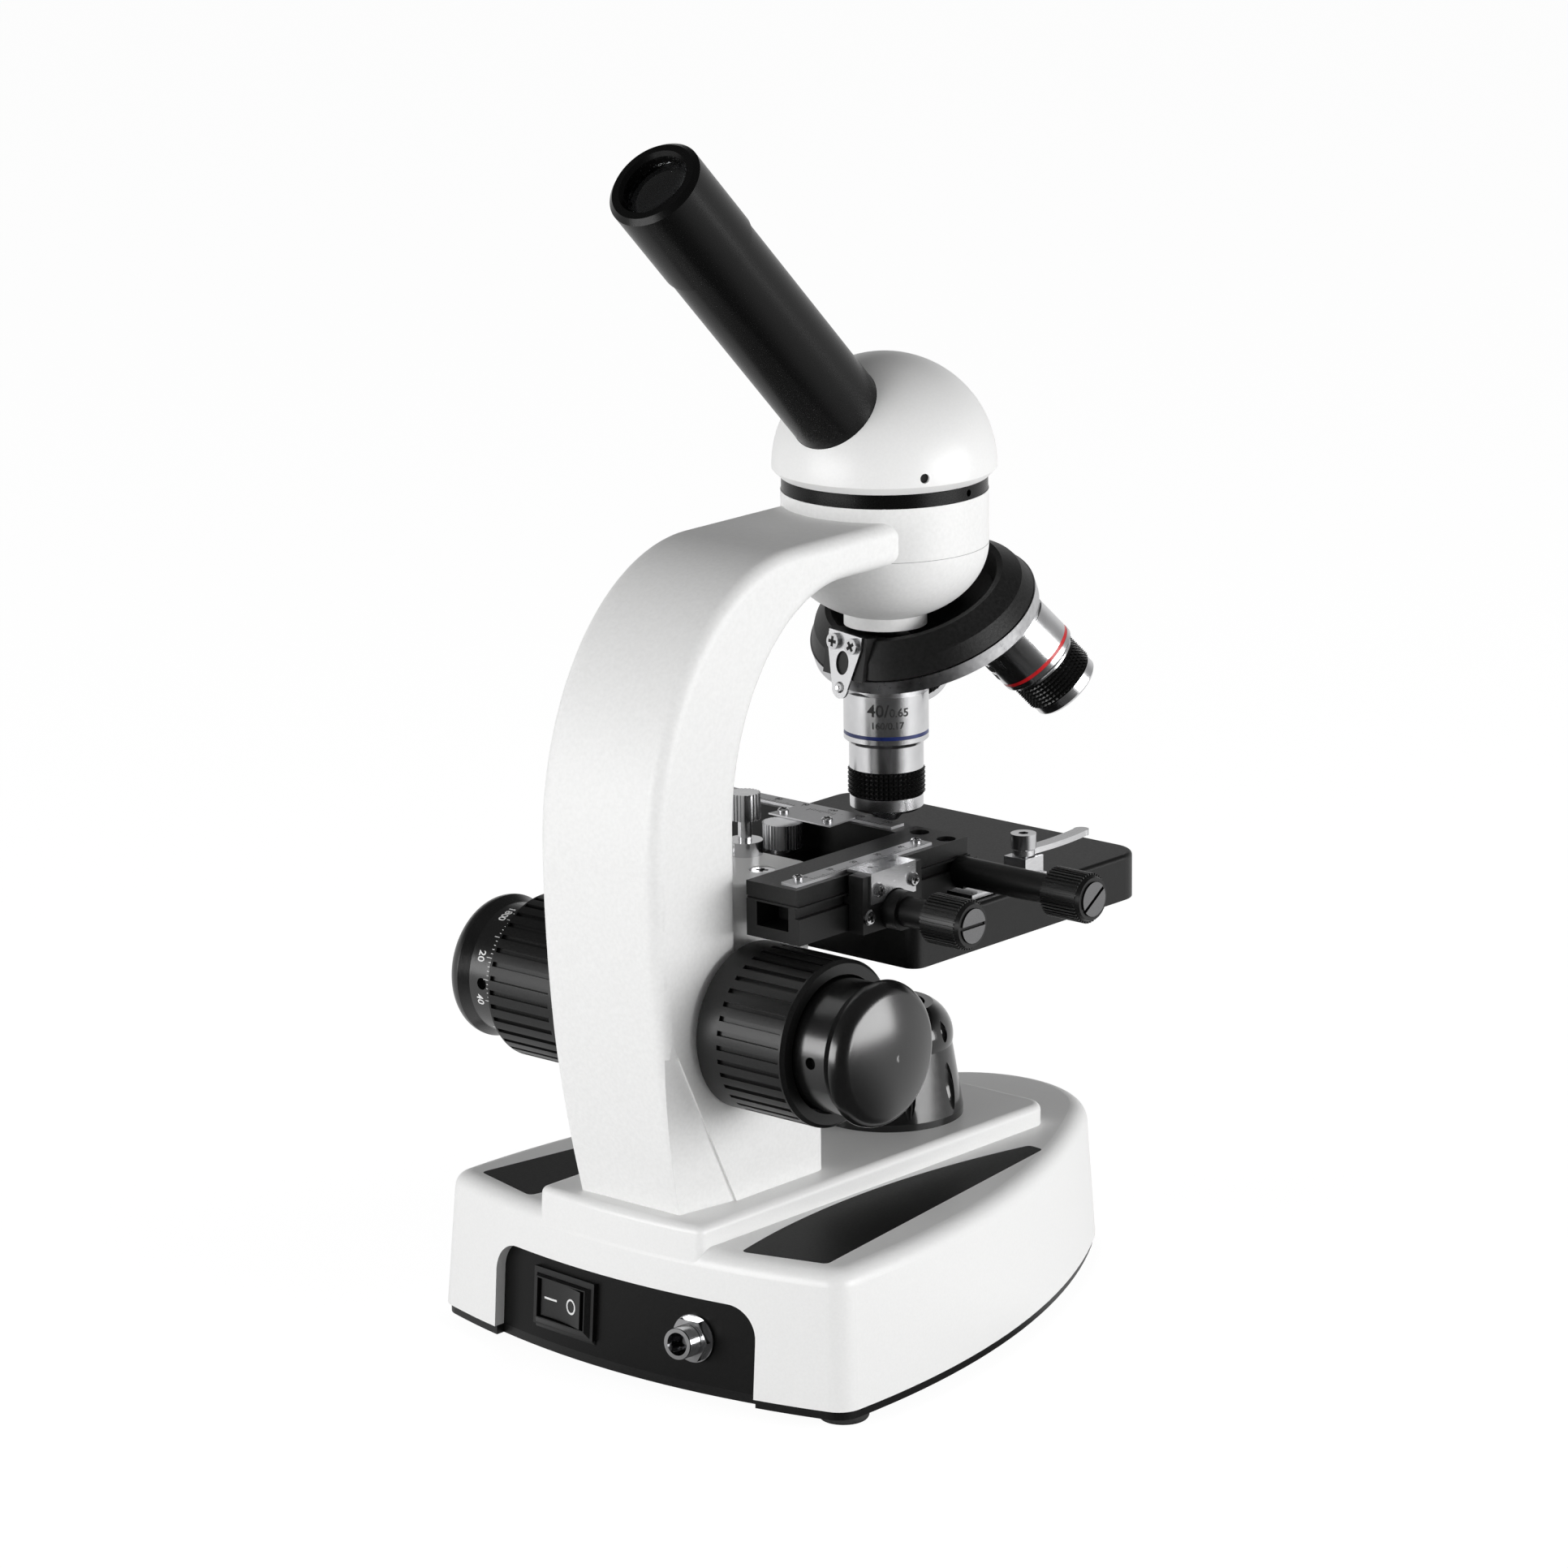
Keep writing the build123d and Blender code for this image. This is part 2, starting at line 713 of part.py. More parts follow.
def make_lamp():
    """Lamp housing, its upper ring, the lens and the LED board."""
    floor = deck_top
    wall = lamp_wall
    lower = lathe([(0, floor), (lamp_base_radius, floor), (lamp_base_radius, floor + lamp_foot),
                   (lamp_seam_radius, lamp_seam_z),
                   (0, lamp_seam_z)])
    lower -= lathe([(0, floor), (lamp_base_radius - wall, floor), (lamp_seam_radius - wall, lamp_seam_z),
                    (0, lamp_seam_z)])
    lean = math.degrees(math.atan((lamp_base_radius - lamp_seam_radius) / (lamp_seam_z - floor)))
    middle = (lamp_seam_z + floor) / 2
    mid_radius = (lamp_base_radius + lamp_seam_radius) / 2
    long_dimple = Pos(mid_radius + lamp_long_dimple_out, 0, middle) * Rot(0, -lean, 0)
    long_dimple = long_dimple * spindle_dimple(*lamp_long_dimple)
    ring_low = lamp_seam_z + seat_gap
    shoulder = (lamp_seam_z + 2 * lamp_top_z) / 3
    arc = ThreePointArc((lamp_seam_radius, 0, ring_low),
                        (lamp_shoulder_share * lamp_seam_radius, 0, shoulder),
                        (lamp_top_radius, 0, lamp_top_z))
    outline = arc + Polyline((lamp_top_radius, 0, lamp_top_z), (0, 0, lamp_top_z), (0, 0, ring_low),
                             (lamp_seam_radius, 0, ring_low))
    ring = revolve(make_face(outline), Axis.Z)
    lens_low = lamp_top_z - lamp_lens_seat
    ledge_low = lens_low - lamp_ledge_thickness
    ring -= drum(lamp_seam_radius - wall, lamp_seam_z - 1, lens_low)
    ring -= drum(lamp_lens_radius + seat_gap, lamp_seam_z, lamp_top_z + 1)
    ledge = lamp_lens_radius - lamp_ledge
    ring += lathe([(ledge, ledge_low), (lamp_lens_radius + wall, ledge_low),
                   (lamp_lens_radius + wall, lens_low),
                   (ledge, lens_low)])
    short_dimple = Pos(lamp_seam_radius - lamp_short_dimple_in, 0, lamp_seam_z + lamp_short_dimple_rise)
    short_dimple = short_dimple * Rot(0, -lamp_short_dimple_lean * lean,
                                      0) * spindle_dimple(*lamp_short_dimple)
    for index in range(lamp_dimples):
        turn = Rot(0, 0, (index + lamp_dimple_start) * 360 / lamp_dimples)
        lower -= turn * long_dimple
        ring -= turn * short_dimple
    lens_top = lamp_top_z - lamp_lens_sunk
    reach = lamp_crown_share * lamp_lens_radius
    lens = drum(lamp_lens_radius, lens_low + seat_gap, lens_top)
    lens &= Pos(0, 0, lens_top - reach) * Sphere(reach + lamp_crown_rise)
    board_top = floor + lamp_board_thickness
    board = drum(lamp_base_radius - wall - lamp_board_gap, floor, board_top)
    board += block(-led_half, led_half, -led_half, led_half, floor, board_top + led_height)
    board += drum(led_dome_radius, floor, board_top + led_dome_height)
    return lower, ring, lens, board


def make_arm():
    """C-shaped arm with the focus box at its foot and the round head mount at its top."""
    top = Line((0, arm_top_z), (arm_bend_y, arm_top_z))
    back = EllipticalCenterArc((arm_bend_y, arm_bend_z), arm_bend_y - arm_back_y, arm_top_z - arm_bend_z,
                               90, arc_size=90)
    lower = TangentArc((arm_back_y, arm_bend_z), (arm_foot_back_y, deck_top), tangent=(0, -1))
    foot = Polyline((arm_foot_back_y, deck_top), (arm_foot_front_y, deck_top),
                    (arm_foot_front_y, focus_box_top - focus_box_chamfer),
                    (arm_foot_front_y - focus_box_chamfer / 2, focus_box_top),
                    (arm_throat_y, focus_box_top),
                    (arm_throat_y, throat_bend_z))
    throat = EllipticalCenterArc((throat_bend_y, throat_bend_z), throat_bend_y - arm_throat_y,
                                 arm_under_z - throat_bend_z, 90, arc_size=90)
    end = Polyline((throat_bend_y, arm_under_z), (0, arm_under_z), (0, arm_top_z))
    profile = make_face(top + back + lower + foot + throat + end)
    arm = extrude(Plane.YZ * profile, arm_half_width, both=True)
    rims = arm.edges().filter_by_position(Axis.X, arm_half_width - 0.01, arm_half_width + 0.01)
    rims += arm.edges().filter_by_position(Axis.X, -arm_half_width - 0.01, 0.01 - arm_half_width)
    rims = [e for e in rims if e.center().Y < -1 and e.center().Z > deck_top + 1]
    arm = fillet(rims, arm_edge_radius)
    apex = Vector(arm_half_width, *crease_top)
    forward = Vector(arm_half_width, crease_foot_y, deck_top) - apex
    inward = Vector(arm_half_width - crease_inset, arm_foot_back_y, deck_top) - apex
    facet = Plane(origin=apex, z_dir=inward.cross(forward)) * Box(*[4 * arm_top_z] * 2, arm_half_width,
                                                                  align=(Align.CENTER, Align.CENTER,
                                                                         Align.MIN))
    behind = make_face(Polyline(crease_top, (crease_foot_y, deck_top), (2 * arm_back_y, deck_top),
                                (2 * arm_back_y, crease_top[1]), close=True))
    step = Pos(-crease_step, 0, 0) * facet & extrude(Plane.YZ * behind, 2 * arm_half_width)
    for cut in (facet, step):
        arm = arm - cut - mirror(cut, Plane.YZ)
    arm -= drum(head_mount_radius, arm_under_z - 5, head_seam_z)
    arm += drum(head_mount_radius, head_seam_z, head_mount_top)
    arm -= drum(light_bore_radius, head_seam_z - 1, head_mount_top + 1)
    well_back = focus_y + pinion_radius
    half = slide_half_width + sliding_gap
    arm -= block(-half, half, well_back, slide_front_y + sliding_gap, slide_well_floor, focus_box_top + 1)
    arm -= rod_x(pinion_radius + sliding_gap, -half, half, focus_y, focus_z)
    arm -= rod_x(coarse_shaft_radius + running_fit, -2 * arm_half_width, 2 * arm_half_width, focus_y,
                 focus_z)
    for x, y in corners(arm_bolts_back, arm_bolts_front):
        arm -= drum(arm_bolt_radius + seat_gap, deck_top - 1, deck_top + arm_bolt_grip, x, y)
    return arm


def make_arm_bolts():
    """Bolts from under the deck into the arm's foot."""
    under = deck_top - base_wall
    bolts = []
    for x, y in corners(arm_bolts_back, arm_bolts_front):
        bolt = drum(arm_bolt_head_radius, under - arm_bolt_head, under, x, y)
        bolts.append(bolt + drum(arm_bolt_radius, under - 1, deck_top + arm_bolt_grip - 0.5, x, y))
    return bolts


tube = Pos(0, 0, tube_axis_z) * Rot(tube_tilt, 0, 0)


def make_head():
    """Ring on the arm, domed head, inclined tube and prism."""
    ring_top = head_mount_top + head_ring_height
    ring = drum(head_ring_radius, head_mount_top, ring_top)
    ring -= drum(head_spigot_radius + running_fit, head_mount_top - 1, ring_top + 1)
    rim_z = ring_top + sliding_gap
    arc = ThreePointArc((0, 0, dome_centre_z + dome_radius),
                        (dome_radius * math.sqrt(0.5), 0, dome_centre_z + dome_radius * math.sqrt(0.5)),
                        (dome_radius, 0, dome_centre_z))
    rim = Polyline((dome_radius, 0, dome_centre_z), (dome_radius, 0, rim_z + dome_rim_radius),
                   (dome_radius - dome_rim_radius, 0, rim_z), (0, 0, rim_z),
                   (0, 0, dome_centre_z + dome_radius))
    dome = revolve(make_face(arc + rim), Axis.Z)
    dome += drum(head_spigot_radius, head_mount_top + sliding_gap, rim_z)
    dome -= drum(light_bore_radius, head_mount_top, dome_centre_z)
    dome -= tube * drum(tube_radius + running_fit, tube_start, 2 * dome_radius)
    prism_low = dome_centre_z - prism_room
    front, back = prism_foot
    room_half = prism_half_width + prism_room / 2
    dome -= block(-room_half, room_half, front - prism_front_height, back + prism_room, prism_low,
                  prism_low + prism_height + 2 * prism_room)
    dome -= Rot(0, 0, dome_hole_turn) * rod_x(dome_hole_radius, dome_radius - set_screw_depth,
                                              dome_radius + 1,
                                              0, dome_hole_z)
    ring -= Rot(0, 0, ring_hole_turn) * rod_x(ring_hole_radius, head_ring_radius - set_screw_depth,
                                              head_ring_radius + 1, 0,
                                              head_mount_top + head_ring_height / 2)
    pipe = tube * (drum(tube_radius, tube_start, tube_end) - drum(tube_bore_radius, tube_start - 1,
                                                                  tube_end + 1))
    face = make_face(Polyline((front, prism_low), (back, prism_low), (back, prism_low + prism_back_height),
                              (prism_ridge_y, prism_low + prism_height),
                              (front, prism_low + prism_front_height),
                              close=True))
    prism = extrude(Plane.YZ * face, prism_half_width, both=True)
    return ring, dome, pipe, prism


def make_eyepiece():
    """Eyepiece with its push-in barrel, and the two lenses."""
    shoulder = tube_end + seat_gap
    start = shoulder - eyepiece_barrel_length
    edge = eyepiece_edge
    body = lathe([(0, start), (eyepiece_barrel_radius, start), (eyepiece_barrel_radius, shoulder),
                  (eyepiece_radius, shoulder), (eyepiece_radius, eyepiece_end - edge),
                  (eyepiece_radius - edge, eyepiece_end), (0, eyepiece_end)])
    lens_seat = eyepiece_end - eye_lens_depth - eye_lens_thickness
    field_top = start + field_lens_inset + field_lens_thickness
    body -= drum(eyepiece_bore_radius, start - 1, field_top)
    body -= drum(eyepiece_bore_radius - eyepiece_ledge, start, eyepiece_end)
    body -= drum(eyepiece_bore_radius, lens_seat, eyepiece_end)
    mouth = eyepiece_end - eyepiece_mouth_depth
    body -= lathe([(0, mouth), (eyepiece_bore_radius, mouth),
                   (eyepiece_bore_radius + eyepiece_mouth_flare, eyepiece_end), (0, eyepiece_end)])
    lens_radius = eyepiece_bore_radius - seat_gap
    eye = drum(lens_radius, lens_seat, lens_seat + eye_lens_thickness)
    eye &= Pos(0, 0, lens_seat + eye_lens_thickness - eye_lens_curve) * Sphere(eye_lens_curve)
    field = drum(lens_radius, field_top - field_lens_thickness, field_top)
    return tube * body, group([tube * eye, tube * field])


nose = Pos(0, 0, turret_apex_z) * Rot(180 + turret_tilt, 0, 0)


def objective_frame(index):
    """Axis of one objective, from the point where all three meet."""
    return nose * Rot(0, 0, 120 * index) * Rot(-turret_tilt, 0, 0)


def bowl_body():
    """Round bowl under the head mount, with the short port at its foot."""
    quarter = EllipticalCenterArc((0, 0), head_mount_radius, bowl_depth, 270, arc_size=90)
    arc = Pos(0, 0, head_seam_z) * Rot(90, 0, 0) * quarter
    foot = head_seam_z - bowl_depth
    rim = Polyline((head_mount_radius, 0, head_seam_z), (0, 0, head_seam_z), (0, 0, foot))
    bowl = revolve(make_face(arc + rim), Axis.Z)
    return bowl + drum(port_radius, foot - port_drop, head_seam_z - bowl_depth / 2)


def make_nosepiece():
    """Fixed bowl and housing, axle, revolving turret, click spring and its screws."""
    end = nose_house_end
    keep = nose * drum(4 * turret_radius, end - 8 * turret_radius, end)
    bowl = bowl_body() & keep
    crest = nose_crest_radius
    house = lathe([(0, nose_dish), (nose_dish_radius, nose_dish),
                   (crest - nose_crest_width, nose_house_start),
                   (crest, nose_house_start), (nose_knee_radius, nose_knee), (nose_house_radius, end),
                   (0, end)])
    house += drum(nose_boss_radius, nose_house_start, end)
    half = click_width / 2
    seat = Rot(0, 0, click_turn) * Pos(0, click_radius, click_height) * Rot(-click_lean, 0, 0)
    pad_half = half + click_pad_margin
    pad = seat * block(-pad_half, pad_half, -click_pad_depth, 0, click_top, 0)
    house += pad & drum(2 * turret_radius, 0, end)
    house = nose * house - bowl_body()
    house = house.solids().sort_by(SortBy.VOLUME)[-1]
    path = drum(light_bore_radius, 0, head_seam_z + 1)
    axle_start = nose_house_start + 1
    axle_hole = nose * drum(axle_radius + seat_gap, axle_start, end + 1)
    bowl = bowl - path - axle_hole
    house = house - path - axle_hole
    bottom = turret_end + turret_crown
    axle = drum(axle_radius, axle_start, bottom + 1)
    axle += drum(axle_head_radius, bottom + sliding_gap, bottom + turret_crown + sliding_gap)
    axle = nose * axle

    start = end + sliding_gap
    bosses = Part()
    bores = Part()
    for index in range(3):
        spot = Rot(0, 0, 120 * index) * Rot(-turret_tilt, 0, 0)
        bosses += spot * drum(turret_boss_radius, objective_seat - turret_boss_radius, objective_seat)
        thread_start = objective_seat - objective_thread_length - sliding_gap
        bores += spot * drum(objective_thread_radius + seat_gap, thread_start, objective_seat + 1)
        bores += spot * drum(light_bore_radius, 0, objective_seat)
    bosses &= drum(turret_radius, start, 2 * objective_seat)
    wheel = lathe([(0, start), (turret_radius, start), (turret_radius, turret_end - turret_bevel),
                   (turret_radius - 2 * turret_bevel, turret_end),
                   (axle_head_radius + turret_crown, bottom),
                   (0, bottom)])
    wheel = wheel + bosses - bores
    wheel -= drum(axle_radius + running_fit, 0, bottom + 1)
    wheel -= drum(axle_head_radius + sliding_gap, bottom, 2 * objective_seat)
    turret = nose * wheel

    tip = click_tip_width / 2
    shoulder = click_top + click_shoulder
    face = make_face(Polyline((-half, click_top), (half, click_top), (half, shoulder),
                              (tip, click_tip - tip),
                              (-tip, click_tip - tip), (-half, shoulder), close=True))
    face += Pos(0, click_tip - tip) * Circle(tip)
    face -= Pos(0, click_top + click_hole_drop) * Ellipse(*click_hole)
    shank = click_screw_radius / 2
    places = [Pos(side * click_screw_spacing / 2, 0, click_top + click_screw_drop) for side in (-1, 1)]
    spring = Pos(0, click_thickness, 0) * extrude(Plane.XZ * face, click_thickness)
    screws = []
    for place in places:
        face_up = place * Rot(-90, 0, 0)
        spring -= face_up * drum(shank + seat_gap, -1, 2 * click_thickness)
        house -= nose * (seat * (face_up * drum(shank + seat_gap, -click_screw_length - 1, 1)))
        screw = drum(shank, -click_screw_length, 2 * click_thickness)
        screw += drum(click_screw_radius, click_thickness, click_thickness + click_screw_head)
        screws.append(nose * (seat * (face_up * screw)))
    return bowl, house, axle, turret, nose * (seat * spring), screws


def make_objective(index, lengths):
    """Barrel, colour band, knurled grip and front lens of one objective."""
    collar, grip_start, grip_end, end = lengths
    lower = objective_lower_radius
    inner = lower - grip_depth
    foot = lower - objective_relief
    barrel = lathe([(0, -objective_thread_length), (objective_thread_radius, -objective_thread_length),
                    (objective_thread_radius, 0), (objective_radius, 0), (objective_radius, collar),
                    (lower, collar + objective_step), (lower, grip_start), (inner, grip_start),
                    (inner, grip_end),
                    (foot, grip_end), (foot, end - objective_bevel), (foot - objective_bevel, end),
                    (0, end)])
    band_end = collar - band_back
    ring = drum(objective_radius + 1, band_end - band_width, band_end)
    ring -= drum(objective_radius - band_depth, 0, end)
    barrel -= ring
    band = drum(objective_radius - band_sunk, band_end - band_width + seat_gap, band_end - seat_gap)
    band -= drum(objective_radius - band_depth + seat_gap, 0, end)
    grip = drum(lower + objective_relief, grip_start + seat_gap, grip_end - seat_gap)
    grip -= drum(inner + seat_gap, 0, end)
    barrel -= drum(objective_bore_radius, -objective_thread_length - 1, end - front_wall)
    spot = objective_frame(index) * Pos(0, 0, objective_seat)
    return spot, barrel, band, grip


def make_objectives():
    """The three objectives on the turret, the high-power one with a sprung nose."""
    sets = (high_power_lengths, medium_power_lengths, low_power_lengths)
    barrels = []
    bands = []
    grips = []
    lenses = []
    for index, lengths in enumerate(sets):
        end = lengths[3]
        sprung = index == 0
        spot, barrel, band, grip = make_objective(index, lengths)
        if sprung:
            stem = nose_stem_radius
            start = end - nose_stem_length
            tip = end + nose_reach
            barrel -= drum(stem + running_fit, start - nose_travel - nose_end_gap, end + 1)
            piece = lathe([(0, start), (stem, start), (stem, end + sliding_gap), (nose_tip_radius, tip),
                           (0, tip)])
            piece -= drum(front_lens_radius - front_lens_ledge, start - 1, tip + 1)
            piece -= drum(front_lens_radius, tip - front_lens_thickness, tip + 1)
            nose_piece = spot * piece
            glass = drum(front_lens_radius - seat_gap, tip - front_lens_thickness, tip - front_lens_sunk)
            nose_lens = spot * glass
        else:
            wide = 2 * front_lens_radius
            barrel -= drum(wide - front_lens_ledge, 0, end + 1)
            barrel -= drum(wide, end - front_lens_thickness, end + 1)
            glass = drum(wide - seat_gap, end - front_lens_thickness, end - front_lens_sunk)
            lenses.append(spot * glass)
        barrels.append(spot * barrel)
        bands.append(spot * band)
        grips.append(spot * grip)
    return barrels, bands, grips, lenses, nose_piece, nose_lens


def ribbed_rod(radius, start, end, count, depth, width):
    """Short rod along Z with grooves all round."""
    rod = drum(radius, start, end)
    groove = block(radius - depth, radius + 1, -width / 2, width / 2, start - 1, end + 1)
    cuts = [Rot(0, 0, 360 * i / count) * groove for i in range(count)]
    return rod - cuts


def make_focus_knobs():
    """Coarse and fine knobs of both sides with their nested shafts."""
    inner = arm_half_width + coarse_gap
    outer = inner + coarse_length
    floor = outer - coarse_recess
    edge = coarse_edge
    hub = coarse_shaft_radius + seat_gap
    rim = coarse_radius - coarse_rim
    coarse = lathe([(hub, inner), (coarse_radius - edge, inner), (coarse_radius, inner + edge),
                    (coarse_radius, outer - edge), (coarse_radius - edge, outer), (rim, outer),
                    (rim, floor),
                    (hub, floor)])
    near, far = coarse_slot_margin
    slot = block(coarse_radius - coarse_slot_depth, coarse_radius + 1, -coarse_slot_width / 2,
                 coarse_slot_width / 2, inner + near, outer - far)
    coarse -= [Rot(0, 0, 360 * i / coarse_slots) * slot for i in range(coarse_slots)]

    neck = fine_neck_radius
    start = floor + fine_neck_gap
    flare = outer + fine_neck_length
    shoulder = outer + fine_reach
    cap = (fine_radius ** 2 + fine_dome ** 2) / (2 * fine_dome)
    half = math.asin(fine_radius / cap) / 2
    bulge = ThreePointArc((fine_radius, 0, shoulder),
                          (cap * math.sin(half), 0, shoulder + fine_dome - cap * (1 - math.cos(half))),
                          (0, 0, shoulder + fine_dome))
    side = Polyline((0, 0, shoulder + fine_dome), (0, 0, start), (neck - fine_lip, 0, start),
                    (neck, 0, start + fine_lip), (neck, 0, flare), (fine_radius, 0, flare + fine_flare),
                    (fine_radius, 0, shoulder))
    fine = revolve(make_face(bulge + side), Axis.Z)
    rims = fine.edges().filter_by_position(Axis.Z, shoulder - seat_gap, shoulder + seat_gap)
    fine = fillet(rims.filter_by(GeomType.CIRCLE), fine_edge_radius)
    fine -= drum(fine_shaft_radius + seat_gap, 0, shoulder)
    hole = drum(fine_hole_radius, fine_radius - fine_hole_depth, fine_radius + 1)
    fine -= Pos(0, 0, outer + fine_hole_reach) * Rot(0, 0, 270) * Rot(0, 90, 0) * hole

    place = Pos(0, focus_y, focus_z)
    right = place * Rot(0, 90, 0)
    left = place * Rot(0, -90, 0)
    bore = fine_shaft_radius + running_fit
    shaft = drum(coarse_shaft_radius, -floor, floor)
    shaft += ribbed_rod(pinion_radius, -pinion_half_width, pinion_half_width, pinion_teeth, tooth_depth,
                        tooth_width)
    shaft -= drum(bore, -outer, outer)
    core_end = shoulder - fine_shaft_end
    core = drum(fine_shaft_radius, -core_end, core_end)
    return right * coarse, left * coarse, right * shaft, right * fine, left * fine, right * core


def make_focus_slide():
    """Toothed slide that the coarse pinion lifts, with the square post that carries the stage."""
    top = bracket_bottom - slide_gap
    rear = focus_y + pinion_radius + sliding_gap
    slide = block(-slide_half_width, slide_half_width, rear, slide_front_y, slide_bottom, top)
    count = int((top - slide_bottom - 2 * rack_margin) / rack_pitch)
    notch = block(-pinion_half_width, pinion_half_width, rear - 1, rear + tooth_depth, 0, rack_pitch / 2)
    slide -= [Pos(0, 0, slide_bottom + rack_margin + i * rack_pitch) * notch for i in range(count)]
    middle = (rear + slide_front_y) / 2
    post = slide_post_half
    slide += block(-post, post, middle - post, middle + post, top - 1, bracket_bottom + slide_post_height)
    return slide, middle


def rounded_plan(x0, x1, y0, y1, front, back):
    """Rectangle with its own corner radius at the front and the back."""
    face = make_face(Polyline((x0, y0), (x1, y0), (x1, y1), (x0, y1), close=True))
    face = fillet(face.vertices().group_by(Axis.Y)[-1], front)
    return fillet(face.vertices().group_by(Axis.Y)[0], back)


def make_stage(post_y):
    """Stage plate, bracket, condenser lens, diaphragm disc and the loose screws."""
    half = stage_half_width
    plan = rounded_plan(-half, half, stage_back_y, stage_front_y, stage_front_corner, stage_back_corner)
    plate = Pos(0, 0, stage_bottom) * extrude(plan, stage_top - stage_bottom)
    plate = fillet(plate.edges().group_by(Axis.Z)[-1], stage_edge)
    skirt = stage_skirt
    room = rounded_plan(skirt - half, half - skirt, stage_back_y + skirt, stage_front_y - skirt,
                        stage_front_corner - skirt, stage_back_corner - skirt + 1)
    under = stage_top - stage_deck
    plate -= Pos(0, 0, stage_bottom - 1) * extrude(room, under - stage_bottom + 1)
    hub_z = under - condenser_height / 2
    plate += drum(condenser_radius + condenser_wall, hub_z, under + 1)
    plate -= drum(condenser_radius + seat_gap, hub_z + condenser_floor, stage_top + 1)
    plate -= drum(condenser_radius - condenser_ledge, hub_z - 1, stage_top)
    pivot_y = diaphragm_pivot_y
    plate += drum(pivot_head_radius, diaphragm_z + diaphragm_thickness + sliding_gap, under + 1, 0, pivot_y)
    plate -= drum(pivot_radius + seat_gap, stage_bottom, under - pivot_room, 0, pivot_y)
    tongue = bracket_tongue_half
    plate -= block(-tongue - tongue_gap, tongue + tongue_gap, stage_back_y - 1, stage_back_y + skirt + 1,
                   under - bracket_tongue_thickness - tongue_gap, under)
    lens_top = stage_top - condenser_sunk
    reach = condenser_curve_share * condenser_radius
    lens = drum(condenser_radius, hub_z + condenser_floor + seat_gap, lens_top)
    lens &= Pos(0, 0, lens_top - reach) * Sphere(reach)

    wide = bracket_half_width
    plan = rounded_plan(-wide, wide, bracket_back_y, stage_back_y, bracket_corner, bracket_corner)
    bracket = Pos(0, 0, bracket_bottom) * extrude(plan, bracket_top - bracket_bottom)
    bracket = fillet(bracket.edges().group_by(Axis.Z)[-1], bracket_edge)
    bracket += block(-tongue, tongue, stage_back_y - bracket_corner, bracket_tongue_front_y,
                     under - bracket_tongue_thickness, under)
    post = slide_post_half + running_fit
    socket_top = bracket_bottom + slide_post_height + slide_post_room
    bracket -= block(-post, post, post_y - post, post_y + post, bracket_bottom - 1, socket_top)
    bracket -= drum(stop_thread_radius + running_fit, bracket_bottom - 1, bracket_top + 1, stop_x, stop_y)
    screws = []
    for side in (-1, 1):
        x = side * bracket_screw_x
        shank = bracket_screw_radius / 2
        sunk = bracket_top - bracket_screw_radius / 2
        tail = sunk - bracket_screw_length
        flat = bracket_top - bracket_screw_sunk
        room = bracket_screw_radius + bracket_screw_gap
        head = lathe([(0, tail), (shank, tail), (shank, sunk), (bracket_screw_radius, flat), (0, flat)])
        hole = lathe([(0, tail), (shank + seat_gap, tail), (shank + seat_gap, sunk), (room, flat),
                      (room, bracket_top), (0, bracket_top)])
        bracket -= Pos(x, bracket_screw_y, 0) * hole
        head = Pos(x, bracket_screw_y, 0) * head
        screws.append(head)
    nut = drum(lock_nut_radius, bracket_top, bracket_top + lock_nut_height, stop_x, stop_y)
    nut -= drum(stop_thread_radius + running_fit, bracket_top - 1, bracket_top + lock_nut_height + 1,
                stop_x, stop_y)
    screws.append(nut)
    stop = Pos(stop_x, stop_y, 0) * ribbed_rod(stop_head_radius, stop_head_bottom, stop_head_top,
                                               *stop_ribs)
    stop += drum(stop_thread_radius, bracket_bottom + stop_thread_rise, stop_head_bottom + 1, stop_x,
                 stop_y)

    disc = drum(diaphragm_radius, diaphragm_z, diaphragm_z + diaphragm_thickness, 0, diaphragm_pivot_y)
    disc -= drum(pivot_radius + running_fit, 0, stage_top, 0, diaphragm_pivot_y)
    step = 360 / len(diaphragm_holes)
    for index, size in enumerate(diaphragm_holes):
        turn = math.radians(270 + index * step)
        x = diaphragm_pivot_y * math.cos(turn)
        y = diaphragm_pivot_y + diaphragm_pivot_y * math.sin(turn)
        disc -= drum(size / 2, 0, stage_top, x, y)
    head_top = diaphragm_z - sliding_gap
    pivot_top = under - pivot_room - pivot_end_gap
    pivot = drum(pivot_radius, head_top - pivot_head_height / 2, pivot_top, 0, pivot_y)
    pivot += drum(pivot_head_radius, head_top - pivot_head_height, head_top, 0, pivot_y)
    screws.append(pivot)
    return plate, bracket, lens, disc, screws, stop


def knob_on_shaft(face, spindle_start, y, z, slot_turn):
    """Ribbed stage knob with its spindle, along X."""
    shoulder = face - knob_bevel
    grip = ribbed_rod(knob_radius, face - knob_length, shoulder, knob_ribs, knob_rib_depth, knob_rib_width)
    core = knob_radius - knob_bevel_depth
    grip += lathe([(0, shoulder), (core, shoulder), (core - knob_bevel_depth, face), (0, face)])
    grip -= drum(knob_disc_radius + knob_disc_gap, face - knob_disc_sink, face + 1)
    slot = block(-knob_radius, knob_radius, -knob_slot_width / 2, knob_slot_width / 2,
                 face - knob_disc_sink,
                 face + 1)
    disc = drum(knob_disc_radius, face - 2 * knob_disc_sink, face + knob_disc_proud)
    grip += disc - Rot(0, 0, slot_turn) * slot
    grip += drum(spindle_radius, spindle_start, shoulder)
    return Pos(0, y, z) * Rot(0, 90, 0) * grip


